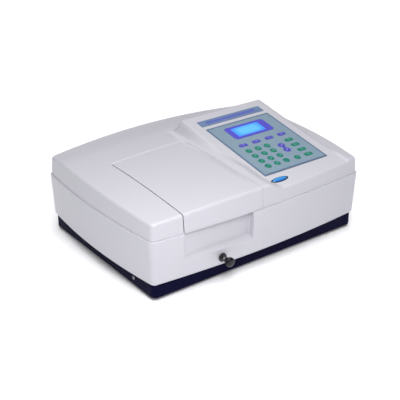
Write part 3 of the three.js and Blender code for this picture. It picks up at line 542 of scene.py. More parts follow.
def printed_film(name, window, field, edge, border, accent=None, accent_half=None):
    """A printed plastic film: a field inside a border, and a stripe of an accent colour."""
    n = Nodes(name, field, 0.42, coat=0.25, coat_roughness=0.35)
    x, y = n.axes()
    (cx, cy), (hx, hy) = middle_and_half(window)
    printed = n.math("MULTIPLY", n.within(x, cx, hx - border, 0.2), n.within(y, cy, hy - border, 0.2))
    drift = n.mix(n.noise(30.0, 2.0), shade(field, 0.95), shade(field, 1.05))
    colour = n.mix(printed, edge, drift)
    if accent:
        across, along = n.within(x, cx, accent_half[0], 3.0), n.within(y, cy, accent_half[1], 1.2)
        colour = n.mix(n.math("MULTIPLY", across, along), colour, accent)
    n.paint(colour)
    n.bump(n.noise(2400.0, 2.0), 0.006)
    n.spread(n.noise(60.0, 3.0), 0.36, 0.5)
    return n.material


def lit_screen(name):
    """A backlit display behind glossy plastic, a little brighter in its middle."""
    n = Nodes(name, srgb(60, 110, 230), 0.12, coat=1.0, coat_roughness=0.04)
    x, y = n.axes()
    (cx, cy), (hx, hy) = middle_and_half(SCREEN)
    glow = n.math("MULTIPLY", n.within(x, cx, hx + 4, 18.0), n.within(y, cy, hy + 4, 12.0))
    cells = n.node("ShaderNodeTexChecker", Scale=1 / (1.1 * MM))
    n.link(n.place, cells.inputs["Vector"])
    faint = n.math("MULTIPLY", cells.outputs["Fac"], 0.06)
    lit = n.mix(n.math("SUBTRACT", glow, faint, clamp=True), srgb(62, 118, 236), srgb(92, 172, 255))
    n.paint(lit)
    n.link(lit, n.shader.inputs["Emission Color"])
    n.set("Emission Strength", 0.55)
    return n.material


def badge_enamel(name, centre, half):
    """A domed oval of clear resin over blue, inside a black rim; it carries no mark. Its blue is painted
    lighter towards the top as a painted highlight.
    """
    n = Nodes(name, srgb(34, 120, 205), 0.2, coat=1.0, coat_roughness=0.05)
    u, v = (
        n.math("DIVIDE", n.math("SUBTRACT", axis, middle * MM), reach * MM)
        for axis, middle, reach in zip(n.axes(), centre, half)
    )
    radius = n.math("SQRT", n.math("ADD", n.math("MULTIPLY", u, u), n.math("MULTIPLY", v, v)))
    rim = n.math("MULTIPLY", n.math("SUBTRACT", radius, 0.8), 14.0, clamp=True)
    # Painted highlight: the blue grows lighter up the badge's slope.
    painted_highlight = n.math("MULTIPLY", n.math("ADD", v, 0.8), 0.6, clamp=True)
    blue = n.mix(painted_highlight, srgb(26, 100, 190), srgb(90, 180, 238))
    n.paint(n.mix(rim, blue, srgb(12, 12, 18)))
    return n.material


def circuit_board(name):
    """Green solder mask with a lattice of paler tracks."""
    base = srgb(24, 84, 54)
    n = Nodes(name, base, 0.4, coat=0.3)
    bricks = n.node(
        "ShaderNodeTexBrick", Scale=1 / (6 * MM), Color1=base, Color2=srgb(28, 92, 60),
        Mortar=srgb(60, 128, 88), Mortar_Size=0.03,
    )
    n.link(n.place, bricks.inputs["Vector"])
    n.paint(bricks.outputs["Color"])
    n.bump(bricks.outputs["Fac"], 0.03)
    return n.material


WHITE = moulded("white_abs", srgb(198, 197, 205), 0.32, grain=0.004, variation=0.012)
BLACK = moulded("black_plastic", srgb(17, 17, 21), 0.34, variation=0.1)
GLOSS_BLACK = moulded("gloss_black", srgb(8, 8, 12), 0.2, grain=0.003, variation=0.1, coat=0.1, specular=0.3)
MATT_BLACK = moulded("matt_black", srgb(26, 26, 30), 0.62, grain=0.04, variation=0.1)
GREEN = moulded("green_key", srgb(22, 122, 102), 0.4, grain=0.01, variation=0.05)
VIOLET = moulded("violet_key", srgb(82, 76, 182), 0.4, grain=0.01, variation=0.05)
INK = moulded("pale_ink", srgb(120, 190, 172), 0.5, grain=0.004, variation=0.02)
LILAC_INK = moulded("lilac_ink", srgb(178, 176, 240), 0.5, grain=0.004, variation=0.02)
NAVY = powder_coat("navy_powder_coat", srgb(13, 12, 44))
RUBBER = rubber("foot_rubber")
STEEL = metal("steel", srgb(178, 180, 184), 0.28, brushed=True, grain=0.0004)
ALUMINIUM = metal("cast_aluminium", srgb(168, 170, 172), 0.5, grain=0.02)
ZINC = metal("zinc_plate", srgb(190, 191, 192), 0.38, metallic=0.9, grain=0.008)
ANODISED = metal("black_anodised", srgb(30, 30, 33), 0.45, metallic=0.6, grain=0.01)
BOARD = circuit_board("circuit_board")


# ------------------------------------------------------------------ cover and lid
def lattice(marks, low, high, pitch):
    """Sorted places from low to high: all the marks, and even steps between them."""
    kept = sorted({round(m, 3) for m in marks if low <= m <= high} | {round(low, 3), round(high, 3)})
    places = []
    for a, b in zip(kept, kept[1:]):
        count = max(1, math.ceil((b - a) / pitch((a + b) / 2)))
        places += [a + (b - a) * i / count for i in range(count)]
    return places + [kept[-1]]


def edge_marks(edge, direction):
    """Lattice lines that round a cut edge off, going away from the gap."""
    return [edge + direction * d for d in SEAM["marks"]]


def seam_drop(distance, radius=SEAM["round"]):
    """The round of a cut edge: how far the surface falls at a distance from it."""
    d = np.clip(distance, 0, radius)
    return radius - np.sqrt(radius**2 - np.square(radius - d))


def cover_pitch_x(x):
    if CONSOLE["right"] < x < CONSOLE["right"] + PITCH["bank_width"]:
        return PITCH["bank"]
    fine = PITCH["valley_x0"] < x < PITCH["valley_x1"] or x > PITCH["side_x"]
    return PITCH["valley"] if fine else PITCH["wide"]


def cover_pitch_y(y):
    return PITCH["crest"] if PITCH["crest_y0"] < y < PITCH["crest_y1"] else PITCH["deep"]


def panel_hole():
    """The hole that the skin has under the keypad's panel."""
    return dict(
        x0=KEYPAD["x0"] + WINDOW_INSET,
        x1=KEYPAD["x1"] - WINDOW_INSET,
        y0=console_y(KEYPAD["y0"] + WINDOW_INSET),
        y1=console_y(KEYPAD["y1"] - WINDOW_INSET),
    )


def cover_marks(hole):
    """Places that the skin's lattice has to keep, along x and along y."""
    marks_x = edge_marks(OPENING["x0"], -1) + edge_marks(LID["x0"], 1)
    marks_x += edge_marks(LID["x1"], -1) + edge_marks(OPENING["x1"], 1)
    marks_x += [x for slot in ARM_SLOTS for x in slot]
    marks_x += [CONSOLE["left"], CONSOLE["crease"], CONSOLE["right"], hole["x0"], hole["x1"]]
    marks_y = edge_marks(LID["y1"], -1) + edge_marks(OPENING["y1"], 1)
    marks_y += [OPENING["y1"] + d for d in SEAM["back_marks"]]
    marks_y += [CONSOLE["back"], hole["y0"], hole["y1"]]
    for window in (KEYPAD, HEADER):
        for sign, x, v in ((-1, window["x0"], window["y0"]), (1, window["x1"], window["y1"])):
            for gap in (POCKET_GAP, POCKET_GAP + POCKET_WALL):
                marks_x.append(x + sign * gap)
                marks_y.append(console_y(v + sign * gap))
    return marks_x, marks_y


def seam_distance(x, y):
    """Distance from the cut round the lid: from the lid's edge inside, the opening's outside."""
    in_lid = np.minimum(np.minimum(x - LID["x0"], LID["x1"] - x), LID["y1"] - y)
    outside = np.maximum(np.maximum(OPENING["x0"] - x, x - OPENING["x1"]), y - OPENING["y1"])
    return np.where(in_lid > -0.01, in_lid, outside)


def skin_owner(x, y, hole):
    """What a place of the skin belongs to: the cover, the lid, or a gap."""
    if OPENING["x0"] < x < OPENING["x1"] and y < OPENING["y1"]:
        return "lid" if LID["x0"] < x < LID["x1"] and y < LID["y1"] else "gap"
    in_hole = hole["x0"] < x < hole["x1"] and hole["y0"] < y < hole["y1"]
    return "gap" if in_hole else "cover"


def skin_places(xs, ys, inner, x_end, y_end):
    """The lattice's points, drawn out to the inner outline and lifted to the top surface."""
    grid_x, grid_y = np.meshgrid(xs, ys, indexing="ij")
    near_x, near_y = np.abs(grid_x) / x_end, np.abs(grid_y) / y_end
    warp_x = smoothstep(0.9, 1.0, near_x) * (1 - smoothstep(0.93, 1.0, near_y)) * np.sign(grid_x)
    warp_y = smoothstep(0.8, 1.0, near_y) * (1 - smoothstep(0.95, 1.0, near_x)) * np.sign(grid_y)
    px = grid_x + (inner.side_x(grid_y) - x_end) * warp_x
    py = grid_y + (inner.front_y(grid_x) - y_end) * warp_y
    pz = top_height(px, py)
    for window in (KEYPAD, HEADER):
        pz = pz - pocket_step(px, py, window)
    pz = pz - seam_drop(seam_distance(px, py))
    behind = (px > LID["x0"]) & (px < LID["x1"]) & (py > LID["y1"] + 0.1)
    back_edge = seam_drop(py - OPENING["y1"], SEAM["back_round"])
    pz = np.where(behind, pz + seam_drop(py - OPENING["y1"]) - back_edge, pz)
    return np.stack([px, py, pz], axis=-1).reshape(-1, 3)


def wall_rings(xs, ys):
    """The cover's edge and wall, from its shoulder down: each ring's points, heights and lean."""
    wall_inset = COVER["ledge"] + COVER["draft"]
    rings = []
    for a in np.radians(np.linspace(84, 0, 11)):
        inset, drop = COVER["edge"] * (1 - math.cos(a)), COVER["edge"] * (1 - math.sin(a))
        ring = Outline(wall_inset + inset).ring(xs, ys, CORNER_STEPS)
        rings.append((ring, top_height(ring[:, 0], ring[:, 1]) - drop, math.cos(a)))
    shoulder = rings[-1][1]
    bottom = COVER["bottom"] + 0.1
    for step in range(1, WALL_STEPS + 1):
        t = step / WALL_STEPS
        ring = Outline(COVER["ledge"] + COVER["draft"] * (1 - t)).ring(xs, ys, CORNER_STEPS)
        rings.append((ring, shoulder + (bottom - shoulder) * t, 1.0))
    for inset, rise in ((0.03, 0.03), (0.1, 0.0)):
        ring = Outline(COVER["ledge"] + inset).ring(xs, ys, CORNER_STEPS)
        rings.append((ring, np.full(len(ring), COVER["bottom"] + rise), 1.0))
    return rings


def cover_skin():
    """The whole top as one lattice: its points, faces, and what each face belongs to."""
    inner = Outline(COVER["ledge"] + COVER["draft"] + COVER["edge"])
    y_end, x_end = inner.limits()
    hole = panel_hole()
    marks_x, marks_y = cover_marks(hole)
    xs = lattice(marks_x, -x_end, x_end, cover_pitch_x)
    ys = lattice(marks_y, -y_end, y_end, cover_pitch_y)
    nx, ny = len(xs), len(ys)
    points = [tuple(p) for p in skin_places(xs, ys, inner, x_end, y_end)]
    faces, owners = [], []
    for i in range(nx - 1):
        for j in range(ny - 1):
            a = i * ny + j
            faces.append((a, a + ny, a + ny + 1, a + 1))
            owners.append(skin_owner((xs[i] + xs[i + 1]) / 2, (ys[j] + ys[j + 1]) / 2, hole))
    right = [(nx - 1) * ny + j for j in range(ny)]
    back = [i * ny + ny - 1 for i in reversed(range(nx))]
    left = list(reversed(range(ny)))
    front = [i * ny for i in range(nx)]
    previous = [v for side in (right, back, left, front) for v in side + [side[-1]] * CORNER_STEPS]
    count = len(previous)
    for ring, height, lean in wall_rings(xs, ys):
        on_front = ring[:, 1] < FRONT_SIDE
        seam = np.where(on_front, seam_drop(seam_distance(ring[:, 0], ring[:, 1])), 0.0)
        start = len(points)
        y = ring[:, 1] + seam * lean
        z = height - seam * math.sqrt(max(1 - lean**2, 0))
        points += list(zip(ring[:, 0], y, z))
        now = list(range(start, start + count))
        for i in range(count):
            k = (i + 1) % count
            quad = [previous[i], previous[k], now[k], now[i]]
            quad = [v for n, v in enumerate(quad) if v != quad[n - 1]]
            if len(quad) < 3:
                continue
            faces.append(tuple(reversed(quad)))
            middle_x = (ring[i, 0] + ring[k, 0]) / 2
            cut = on_front[i] and on_front[k]
            owners.append(skin_owner(middle_x, ring[i, 1], hole) if cut else "cover")
        previous = now
    return np.array(points), faces, owners


def part_of(points, faces, owners, name):
    """The points and faces of one owner, renumbered."""
    chosen = [f for f, o in zip(faces, owners) if o == name]
    used = sorted({i for f in chosen for i in f})
    renumber = {old: new for new, old in enumerate(used)}
    return points[used], [tuple(renumber[i] for i in f) for f in chosen]


def boundary_edges(faces):
    """Directed edges that only one face has."""
    seen = {}
    for face in faces:
        for a, b in zip(face, face[1:] + face[:1]):
            seen[(a, b)] = True
    return [(a, b) for a, b in seen if (b, a) not in seen]


def add_skirt(points, faces):
    """Hangs a wall from the opening's edge down to the compartment deck, with slots for the arms."""
    points = [tuple(p) for p in points]
    faces = list(faces)
    tolerance = 0.02

    def on_edge(p):
        x, y, _ = p
        near_side = min(abs(x - OPENING["x0"]), abs(x - OPENING["x1"])) < tolerance
        near_back = abs(y - OPENING["y1"]) < tolerance and OPENING["x0"] - 1 < x < OPENING["x1"] + 1
        return (near_side and y < OPENING["y1"] + tolerance) or near_back

    levels = {}

    def hung(index, z):
        key = (index, z)
        if key not in levels:
            x, y, _ = points[index]
            levels[key] = len(points)
            points.append((x, y, z))
        return levels[key]

    for a, b in boundary_edges(faces):
        if not (on_edge(points[a]) and on_edge(points[b])):
            continue
        lowest = min(points[a][2], points[b][2])
        if lowest < SKIRT_BOTTOM + 1:
            continue
        middle_x = (points[a][0] + points[b][0]) / 2
        at_back = min(points[a][1], points[b][1]) > OPENING["y1"] - 1
        at_corner = max(points[a][1], points[b][1]) > OPENING["y1"] - tolerance
        if at_back or (at_corner and lowest > SLOT_TOP):
            top_a, top_b = hung(a, SLOT_TOP), hung(b, SLOT_TOP)
            faces.append((b, a, top_a, top_b))
            if not (at_back and any(low < middle_x < high for low, high in ARM_SLOTS)):
                faces.append((top_b, top_a, hung(a, SKIRT_BOTTOM), hung(b, SKIRT_BOTTOM)))
        else:
            faces.append((b, a, hung(a, SKIRT_BOTTOM), hung(b, SKIRT_BOTTOM)))
    return points, faces


def build_top():
    points, faces, owners = cover_skin()
    cover_points, cover_faces = add_skirt(*part_of(points, faces, owners, "cover"))
    cover = make_object("top_cover", cover_points, cover_faces)
    thicken(cover, WALL)
    finish_piece(cover, WHITE, slot="white_plastic", replaces=["upper_cover"], sharp=55)
    lid_points, lid_faces = part_of(points, faces, owners, "lid")
    lid_points[:, 2] = np.maximum(lid_points[:, 2], LID["bottom"])
    lid = make_object("lid_shell", lid_points, lid_faces)
    thicken(lid, WALL)
    finish_piece(lid, WHITE, body="lid", slot="white_plastic", replaces=["sample_lid"])


# ------------------------------------------------------------------ lower housing
def soft_minimum(a, b, blend):
    h = np.clip(0.5 + 0.5 * (b - a) / blend, 0, 1)
    return b + (a - b) * h - blend * h * (1 - h)


def recess_shift(x, z, front_y):
    """How far the front wall moves back at a place to form the finger recess."""
    r = RECESS["fillet"]
    left, right, back = RECESS["x0"], RECESS["x1"], RECESS["back"]
    reach = np.clip(np.minimum(x - left, right - x), 0, r)
    end_wall = back - r + np.sqrt(np.maximum(r**2 - np.square(r - reach), 0))
    wall_start = np.minimum(x - left, right - x) / RECESS["draft"]
    end_wall = end_wall - (RECESS["mouth"] - r) * (1 - np.clip(wall_start, 0, 1))
    out_of_reach = -400.0
    end_wall = np.where((x > left) & (x < right), end_wall, out_of_reach)
    floor = back - (RECESS["floor"] - z) / RECESS["slope"]
    surface = soft_minimum(end_wall, floor, RECESS["blend"])
    dimple = DIMPLE["depth"] * smoothstep(*DIMPLE["z"], z)
    dimple = dimple * (1 - smoothstep(right, right + DIMPLE["width"], x)) * (x > right - 0.01)
    depth = np.maximum(surface - front_y, dimple)
    rounding = RECESS["rim"]
    return np.where(depth > rounding, depth, np.maximum(depth + rounding, 0) ** 2 / (4 * rounding))


def housing_places():
    """Where the shell has points: along its front, along its sides, and up its wall."""
    y_end, x_end = Outline(HOUSING["lip"]).limits()
    left, right = RECESS["x0"], RECESS["x1"]
    steps = (-0.05, 0.0, 0.05, 0.2, 0.4, 0.6, 0.8, 1.0, 1.3, 1.7, 2.2, 2.7, 3.2, 4.5, 6.5)
    beside = (0.3, 0.8, 1.5, 2.5)
    marks = [right - s for s in steps] + [left + s for s in steps]
    marks += [right + s for s in beside] + [left - s for s in beside]
    marks += [REAR["x0"], REAR["x1"]] + [ROD_X + s for s in (-10, -6, -3, 0, 3, 6, 10)]
    floor_low, floor_high = 57.0, 68.0

    def pitch_x(x):
        return 1.2 if abs(x - ROD_X) < 10 else 3.0

    def pitch_z(z):
        if floor_low < z < floor_high:
            return 0.5
        return 1.4 if 50 < z < 72 or abs(z - ROD_Z) < 8 else 3.5

    xs = lattice(marks, -x_end, x_end, pitch_x)
    ys = lattice([], -y_end, y_end, lambda y: 5.0)
    wall_marks = [REAR["z0"], floor_low, floor_high, REAR["z1"]]
    return xs, ys, lattice(wall_marks, HOUSING["bottom"] + HOUSING["round"], WALL_TOP, pitch_z)


def housing_levels(heights):
    """The shell's insets and heights, from its lower lip to the parting line."""
    bottom, draft, radius, rim = (HOUSING[k] for k in ("bottom", "draft", "round", "rim"))
    levels = [(HOUSING["lip"], bottom)]
    for a in map(math.radians, (0, 18, 36, 54, 72)):
        levels.append((draft + radius * (1 - math.sin(a)), bottom + radius * (1 - math.cos(a))))
    for z in heights:
        levels.append((draft * (WALL_TOP - z) / (WALL_TOP - bottom - radius), z))
    for a in map(math.radians, (20, 40, 60, 80, 90)):
        levels.append((rim * (1 - math.cos(a)), WALL_TOP + rim * math.sin(a)))
    return levels + [(WALL + 0.2, PARTING_Z)]


def housing_ring(xs, ys, inset, z):
    """One ring of the shell, moved back where the finger recess is."""
    x_end = xs[-1]
    ring = Outline(inset).ring(xs, ys, 14)
    wall_inset = min(inset, HOUSING["rim"]) if z > WALL_TOP else inset
    front = -Outline(wall_inset).front_y(np.clip(ring[:, 0], -x_end, x_end))
    on_front = (ring[:, 1] < -150) & (np.abs(ring[:, 0]) < x_end - 1)
    shift = np.where(on_front, recess_shift(ring[:, 0], z, front), 0.0)
    return np.column_stack([ring[:, 0], ring[:, 1] + shift, np.full(len(ring), z)])


def from_rod(place):
    """A place's distance from the rod's axis."""
    return math.hypot(place[0] - ROD_X, place[2] - ROD_Z)


def round_rod_hole(points, rim):
    """Moves the rim of the rod's hole onto a circle."""
    edges = [(a, b) for a, b in rim if points[a][1] < FRONT_SIDE]
    near = {i for edge in edges for i in edge if max(from_rod(points[j]) for j in edge) < ROD_HOLE + 3}
    for i in near:
        x, y, z = points[i]
        scale = ROD_HOLE / from_rod(points[i])
        points[i] = (ROD_X + (x - ROD_X) * scale, y, ROD_Z + (z - ROD_Z) * scale)


def add_rear_frame(points, faces, rim):
    """Walls from the rear recess's rim in to the rear panel."""
    inner = {}
    for a, b in rim:
        if points[a][1] < -FRONT_SIDE or not REAR["z0"] - 0.1 < points[a][2] < REAR["z1"] + 0.1:
            continue
        for i in (a, b):
            if i not in inner:
                inner[i] = len(points)
                points.append((points[i][0], REAR["depth"], points[i][2]))
        faces.append((b, a, inner[a], inner[b]))


def build_lower_housing():
    xs, ys, heights = housing_places()
    rings = [housing_ring(xs, ys, inset, z) for inset, z in housing_levels(heights)]
    count = len(rings[0])
    points = np.concatenate(rings)
    faces = []
    for level in range(len(rings) - 1):
        for quad in band(count, level * count, (level + 1) * count):
            middle = points[list(quad)].mean(axis=0)
            x, y, z = middle
            in_rear = y > -FRONT_SIDE and REAR["x0"] < x < REAR["x1"] and REAR["z0"] < z < REAR["z1"]
            in_rod = y < FRONT_SIDE and from_rod(middle) < ROD_HOLE - 0.4
            if not in_rear and not in_rod:
                faces.append(quad)
    points = [tuple(p) for p in points]
    rim = boundary_edges(faces)
    round_rod_hole(points, rim)
    add_rear_frame(points, faces, rim)
    housing = make_object("housing_shell", points, faces)
    thicken(housing, WALL)
    finish_piece(housing, WHITE, slot="white_plastic", replaces=["lower_housing"], sharp=60)


# ------------------------------------------------------------------ base tray, feet and screws
def build_base():
    corner, sheet, fold = 11.0, 2.0, 2.2
    rings = []
    profile = [(30.0, 0.0), (fold, 0.0)]
    for a in np.radians([15, 30, 45, 60, 75, 90]):
        profile.append((fold * (1 - math.sin(a)), fold * (1 - math.cos(a))))
    profile += [(0.0, z) for z in np.linspace(fold, TRAY_TOP - 0.4, 6)[1:]]
    profile += [(0.12, TRAY_TOP - 0.1), (0.4, TRAY_TOP)]
    for inset, z in profile:
        loop = rounded_loop(-TRAY_X, TRAY_X, -TRAY_Y, TRAY_Y, max(corner, inset + 1), inset, steps=12)
        rings.append([(x, y, z) for x, y in loop])
    vertices, faces = loft(rings, close_top=False)
    tray = make_object("base_pan", vertices, faces)
    thicken(tray, sheet)
    finish_piece(tray, NAVY, slot="base_tray", replaces=["base_tray"])
    for name in ("front_left", "front_right", "rear_left", "rear_right"):
        low, high = cad_box("foot_" + name)
        r = (high.x - low.x) / 2
        profile = [
            (0.01, low.z + 2.2), (3.2, low.z + 2.2), (3.6, low.z), (r - 1, low.z),
            (r, low.z + 1.5), (r, high.z - 0.6), (r - 0.8, high.z), (0.01, high.z),
        ]
        vertices, faces = turned(rounded_profile(profile, 0.9))
        centre = (low + high) / 2
        vertices = [(x + centre.x, y + centre.y, z) for x, y, z in vertices]
        foot = make_object("rubber_foot_" + name, vertices, faces)
        finish_piece(foot, RUBBER, slot="foot", replaces=["foot_" + name])


# ------------------------------------------------------------------ console
CONSOLE_MATRIX = Matrix.Translation(
    ORIGIN + Vector((0, CONSOLE["origin_y"], CONSOLE["origin_z"])) * MM
) @ Matrix.Rotation(TILT, 4, "X")


def console_place(node):
    """A console node's middle as (u, v), from its box."""
    low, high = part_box(node)
    local = CONSOLE_MATRIX.inverted() @ ((low + high) / 2)
    return local.x / MM, local.y / MM


def console_piece(name, shape, material, **rest):
    obj = make_object(name, shape.vertices, shape.faces, CONSOLE_MATRIX)
    return finish_piece(obj, material, **rest)


SEGMENTS = dict(a=(0, 1, 1, 1), b=(1, 1, 1, 0), c=(1, 0, 1, -1), d=(0, -1, 1, -1),
                e=(0, 0, 0, -1), f=(0, 1, 0, 0), g=(0, 0, 1, 0))
DIGITS = {"0": "abcdef", "1": "bc", "2": "abged", "3": "abgcd", "4": "fgbc", "5": "afgcd",
          "6": "afgedc", "7": "abc", "8": "abcdefg", "9": "abcdfg", "-": "g", "": ""}
KEY_LABELS = {1: ("-", "0", "."), 2: ("1", "2", "3"), 3: ("4", "5", "6"), 4: ("7", "8", "9")}


def dome(x, y, half_x, half_y):
    return KEY_TOP - KEY_DOME + KEY_DOME * (1 - 0.6 * (x / half_x) ** 2 - 0.4 * (y / half_y) ** 2)


def stroke(shape, ends, width, half_x, half_y):
    """A raised printed line between two points of a key's top."""
    (x0, y0), (x1, y1) = ends
    along = Vector((x1 - x0, y1 - y0)).normalized() if ends[0] != ends[1] else Vector((1, 0))
    across = Vector((-along.y, along.x)) * width / 2
    reach = along * width / 2
    outline = [
        (x0 - reach.x, y0 - reach.y), (x0 - across.x, y0 - across.y),
        (x1 - across.x, y1 - across.y), (x1 + reach.x, y1 + reach.y),
        (x1 + across.x, y1 + across.y), (x0 + across.x, y0 + across.y),
    ]
    rings = [[(x, y, dome(x, y, half_x, half_y) + lift) for x, y in outline] for lift in (-0.08, 0.05)]
    shape.add(*loft(rings), ink=1)


def label(shape, text, half_x, half_y):
    width, height, line = 2.5, 4.4, 0.62
    if text == ".":
        stroke(shape, ((0, -1.4), (0, -1.4)), 1.1, half_x, half_y)
        return
    for name in DIGITS[text]:
        x0, y0, x1, y1 = SEGMENTS[name]
        ends = (((x0 - 0.5) * width, y0 * height / 2), ((x1 - 0.5) * width, y1 * height / 2))
        stroke(shape, ends, line, half_x, half_y)


def key_cap(outline, half_x, half_y):
    """A key: a flange below the panel, a drafted stem and a softly domed top."""
    shape = Shape()
    rings = []
    for grow, w in ((1.0, -3.0), (1.0, -1.7), (0.9, -1.6), (0.02, -1.6), (0.0, -1.4)):
        rings.append([(x, y, w) for x, y in outline(-grow)])
    shoulder = KEY_TOP - KEY_DOME - KEY_EDGE["rise"]
    for degrees in (0, 22, 45, 68, 90):
        a = math.radians(degrees)
        loop = outline(KEY_EDGE["round"] * (1 - math.cos(a)))
        rings.append([(x, y, shoulder + KEY_EDGE["rise"] * math.sin(a)) for x, y in loop])
    top = outline(KEY_EDGE["round"])
    rim = shoulder + KEY_EDGE["rise"]
    for scale in (0.97, 0.9, 0.75, 0.55, 0.3, 0.1):
        loop = [(x * scale, y * scale) for x, y in top]
        soften = float(smoothstep(1.0, 0.85, scale))
        rings.append([(x, y, rim + (dome(x, y, half_x, half_y) - rim) * soften) for x, y in loop])
    return shape.add(*loft(rings))


def key_nodes():
    return [node for node in sorted(frame["nodes"]) if node.startswith("key_")]


def key_kind(node):
    return next((kind for kind in ("digit", "arrow", "function", "mode") if kind in node), "extra")


def key_half(node):
    """Half the size of a key's stem: its CAD box has the flange round it."""
    low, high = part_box(node)
    half_x = (high.x - low.x) / MM / 2 - KEY_FLANGE
    kind = key_kind(node)
    return half_x, KEY_BARS[kind]["half_y"] if kind in KEY_BARS else half_x


def key_outline(node, u=0.0, v=0.0, gap=0.0, corner_gap=0.0):
    """A key's outline round (u, v), widened by a gap, as a function of an inset."""
    half_x, half_y = key_half(node)
    kind = key_kind(node)
    a, b = half_x + gap, half_y + gap

    def outline(inset):
        if kind not in KEY_BARS:
            return circle_loop(u, v, a, inset, steps=44)
        radius = KEY_BARS[kind]["corner"] + corner_gap
        return rounded_loop(u - a, u + a, v - b, v + b, radius, inset, steps=8)

    return outline


def key_strokes(node):
    """The plain marks of a key without a number: the ends of its lines, and their width."""
    kind = key_kind(node)
    if kind == "arrow":
        sign = 1 if "up" in node else -1
        ends = ((-2, -1, 0, 1.4), (2, -1, 0, 1.4), (-2, -1, 2, -1))
        return [(x0, y0 * sign, x1, y1 * sign) for x0, y0, x1, y1 in ends], 0.7
    if kind == "function":
        return [(-3.2, 0, 3.2, 0)], 0.8
    if kind == "mode":
        return [(-3, 1.4, 3, 1.4), (-3, -1.4, 3, -1.4), (-3, -1.4, -3, 1.4), (3, -1.4, 3, 1.4)], 0.55
    return [(-1.6, 0, 1.6, 0), (0, -1.6, 0, 1.6)], 0.7


def build_keys():
    for node in key_nodes():
        u, v = console_place(node)
        half = key_half(node)
        shape = key_cap(key_outline(node), *half)
        if key_kind(node) == "digit":
            row, column = (int(part) for part in node.split("_")[-2:])
            label(shape, KEY_LABELS[row][column - 1], *half)
        else:
            lines, width = key_strokes(node)
            for x0, y0, x1, y1 in lines:
                stroke(shape, ((x0, y0), (x1, y1)), width, *half)
        violet = key_kind(node) in ("arrow", "function")
        matrix = CONSOLE_MATRIX @ Matrix.Translation(Vector((u, v, 0)) * MM)
        obj = make_object(node.replace("key_", "cap_"), shape.vertices, shape.faces, matrix)
        finish_piece(
            obj, VIOLET if violet else GREEN, body=node + "_body",
            slot="violet_key" if violet else "green_key", replaces=[node],
        )
        obj.data.materials.append(LILAC_INK if violet else INK)
        obj.data.polygons.foreach_set("material_index", shape.inks)


def window_loop(window, grow=0.0):
    """A window's outline, widened by grow, as a function of an inset."""
    def loop(inset):
        x0, x1, y0, y1 = (window[key] for key in ("x0", "x1", "y0", "y1"))
        return rounded_loop(x0 - grow, x1 + grow, y0 - grow, y1 + grow, window["radius"], inset, steps=10)

    return loop


def console_plate(name, outer, holes, low, high, bevel, material, slot, node):
    shape = Shape().add(*plate(outer, holes, low, high, bevel))
    console_piece(name, shape, material, slot=slot, replaces=[node], flat_caps=True)


def build_console():
    holes = [
        key_outline(node, *console_place(node), gap=KEY_GAP, corner_gap=POCKET_GAP)
        for node in key_nodes()
    ]
    holes.append(window_loop(BEZEL, POCKET_GAP))
    panel_film = printed_film("panel_film", KEYPAD, srgb(130, 152, 168), srgb(94, 116, 142), 3.4)
    console_plate(
        "keypad_overlay", window_loop(KEYPAD), holes, -1.2, 0.5, 0.18,
        panel_film, "panel_blue", "keypad_panel",
    )
    strip_film = printed_film(
        "strip_film", HEADER, srgb(108, 130, 166), srgb(98, 120, 156), 1.0,
        accent=srgb(92, 102, 182), accent_half=(62.0, 4.4),
    )
    console_plate(
        "header_film", window_loop(HEADER), [], -0.6, 0.3, 0.12,
        strip_film, "strip_blue", "header_strip",
    )
    violet_frame = moulded("bezel_violet", srgb(88, 84, 196), 0.36, grain=0.008, variation=0.04)
    console_plate(
        "display_frame", window_loop(BEZEL), [window_loop(SCREEN, POCKET_GAP)], -1.2, 0.7, 0.3,
        violet_frame, "bezel_violet", "lcd_bezel",
    )
    console_plate(
        "display_glass", window_loop(SCREEN), [], -1.2, 0.4, 0.1,
        lit_screen("lit_screen"), "screen", "lcd_window",
    )


def build_arrow_link():
    """The printed violet link that joins the two arrow keys."""
    u, v0 = console_place("key_arrow_down")
    v1 = console_place("key_arrow_up")[1]
    reach, neck = 7.5, 3.0

    def outer(inset):
        r, half_neck = reach - inset, neck - inset
        opening = math.asin(half_neck / r)
        lower = np.linspace(math.pi / 2 + opening, 2.5 * math.pi - opening, 30)
        upper = np.linspace(-math.pi / 2 + opening, 1.5 * math.pi - opening, 30)
        return [(u + r * math.cos(a), v0 + r * math.sin(a)) for a in lower] + [
            (u + r * math.cos(a), v1 + r * math.sin(a)) for a in upper
        ]

    holes = [lambda inset, v=v: circle_loop(u, v, 6.5, inset, steps=44) for v in (v0, v1)]
    link = Shape().add(*plate(outer, holes, 0.3, 0.58, 0.05))
    console_piece("arrow_link", link, VIOLET, slot="violet_key", flat_caps=True)


def build_badge():
    low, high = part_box("badge")
    u, v = console_place("badge")
    half_u = (high.x - low.x) / MM / 2
    half_v = 6.5
    profile = [(1.0, 0.02), (1.0, 0.9), (0.985, 1.15), (0.95, 1.3), (0.9, 1.34), (0.86, 1.3), (0.84, 1.32)]
    profile += [(0.84 * math.cos(a), 1.32 + 1.05 * math.sin(a)) for a in np.radians([10, 22, 36, 52, 70, 84])]
    rings = []
    for scale, w in profile:
        rings.append([
            (u + half_u * scale * math.cos(a), v + half_v * scale * math.sin(a), w)
            for a in np.linspace(0, 2 * math.pi, 65)[:-1]
        ])
    shape = Shape().add(*loft(rings))
    enamel = badge_enamel("badge_enamel", (u, v), (half_u, half_v))
    console_piece("oval_badge", shape, enamel, slot="badge", replaces=["badge"])


# ------------------------------------------------------------------ pull rod
def along_rod(vertices):
    """Lays a solid made about Z along the rod's axis."""
    return [(ROD_X + x, z, ROD_Z - y) for x, y, z in vertices]


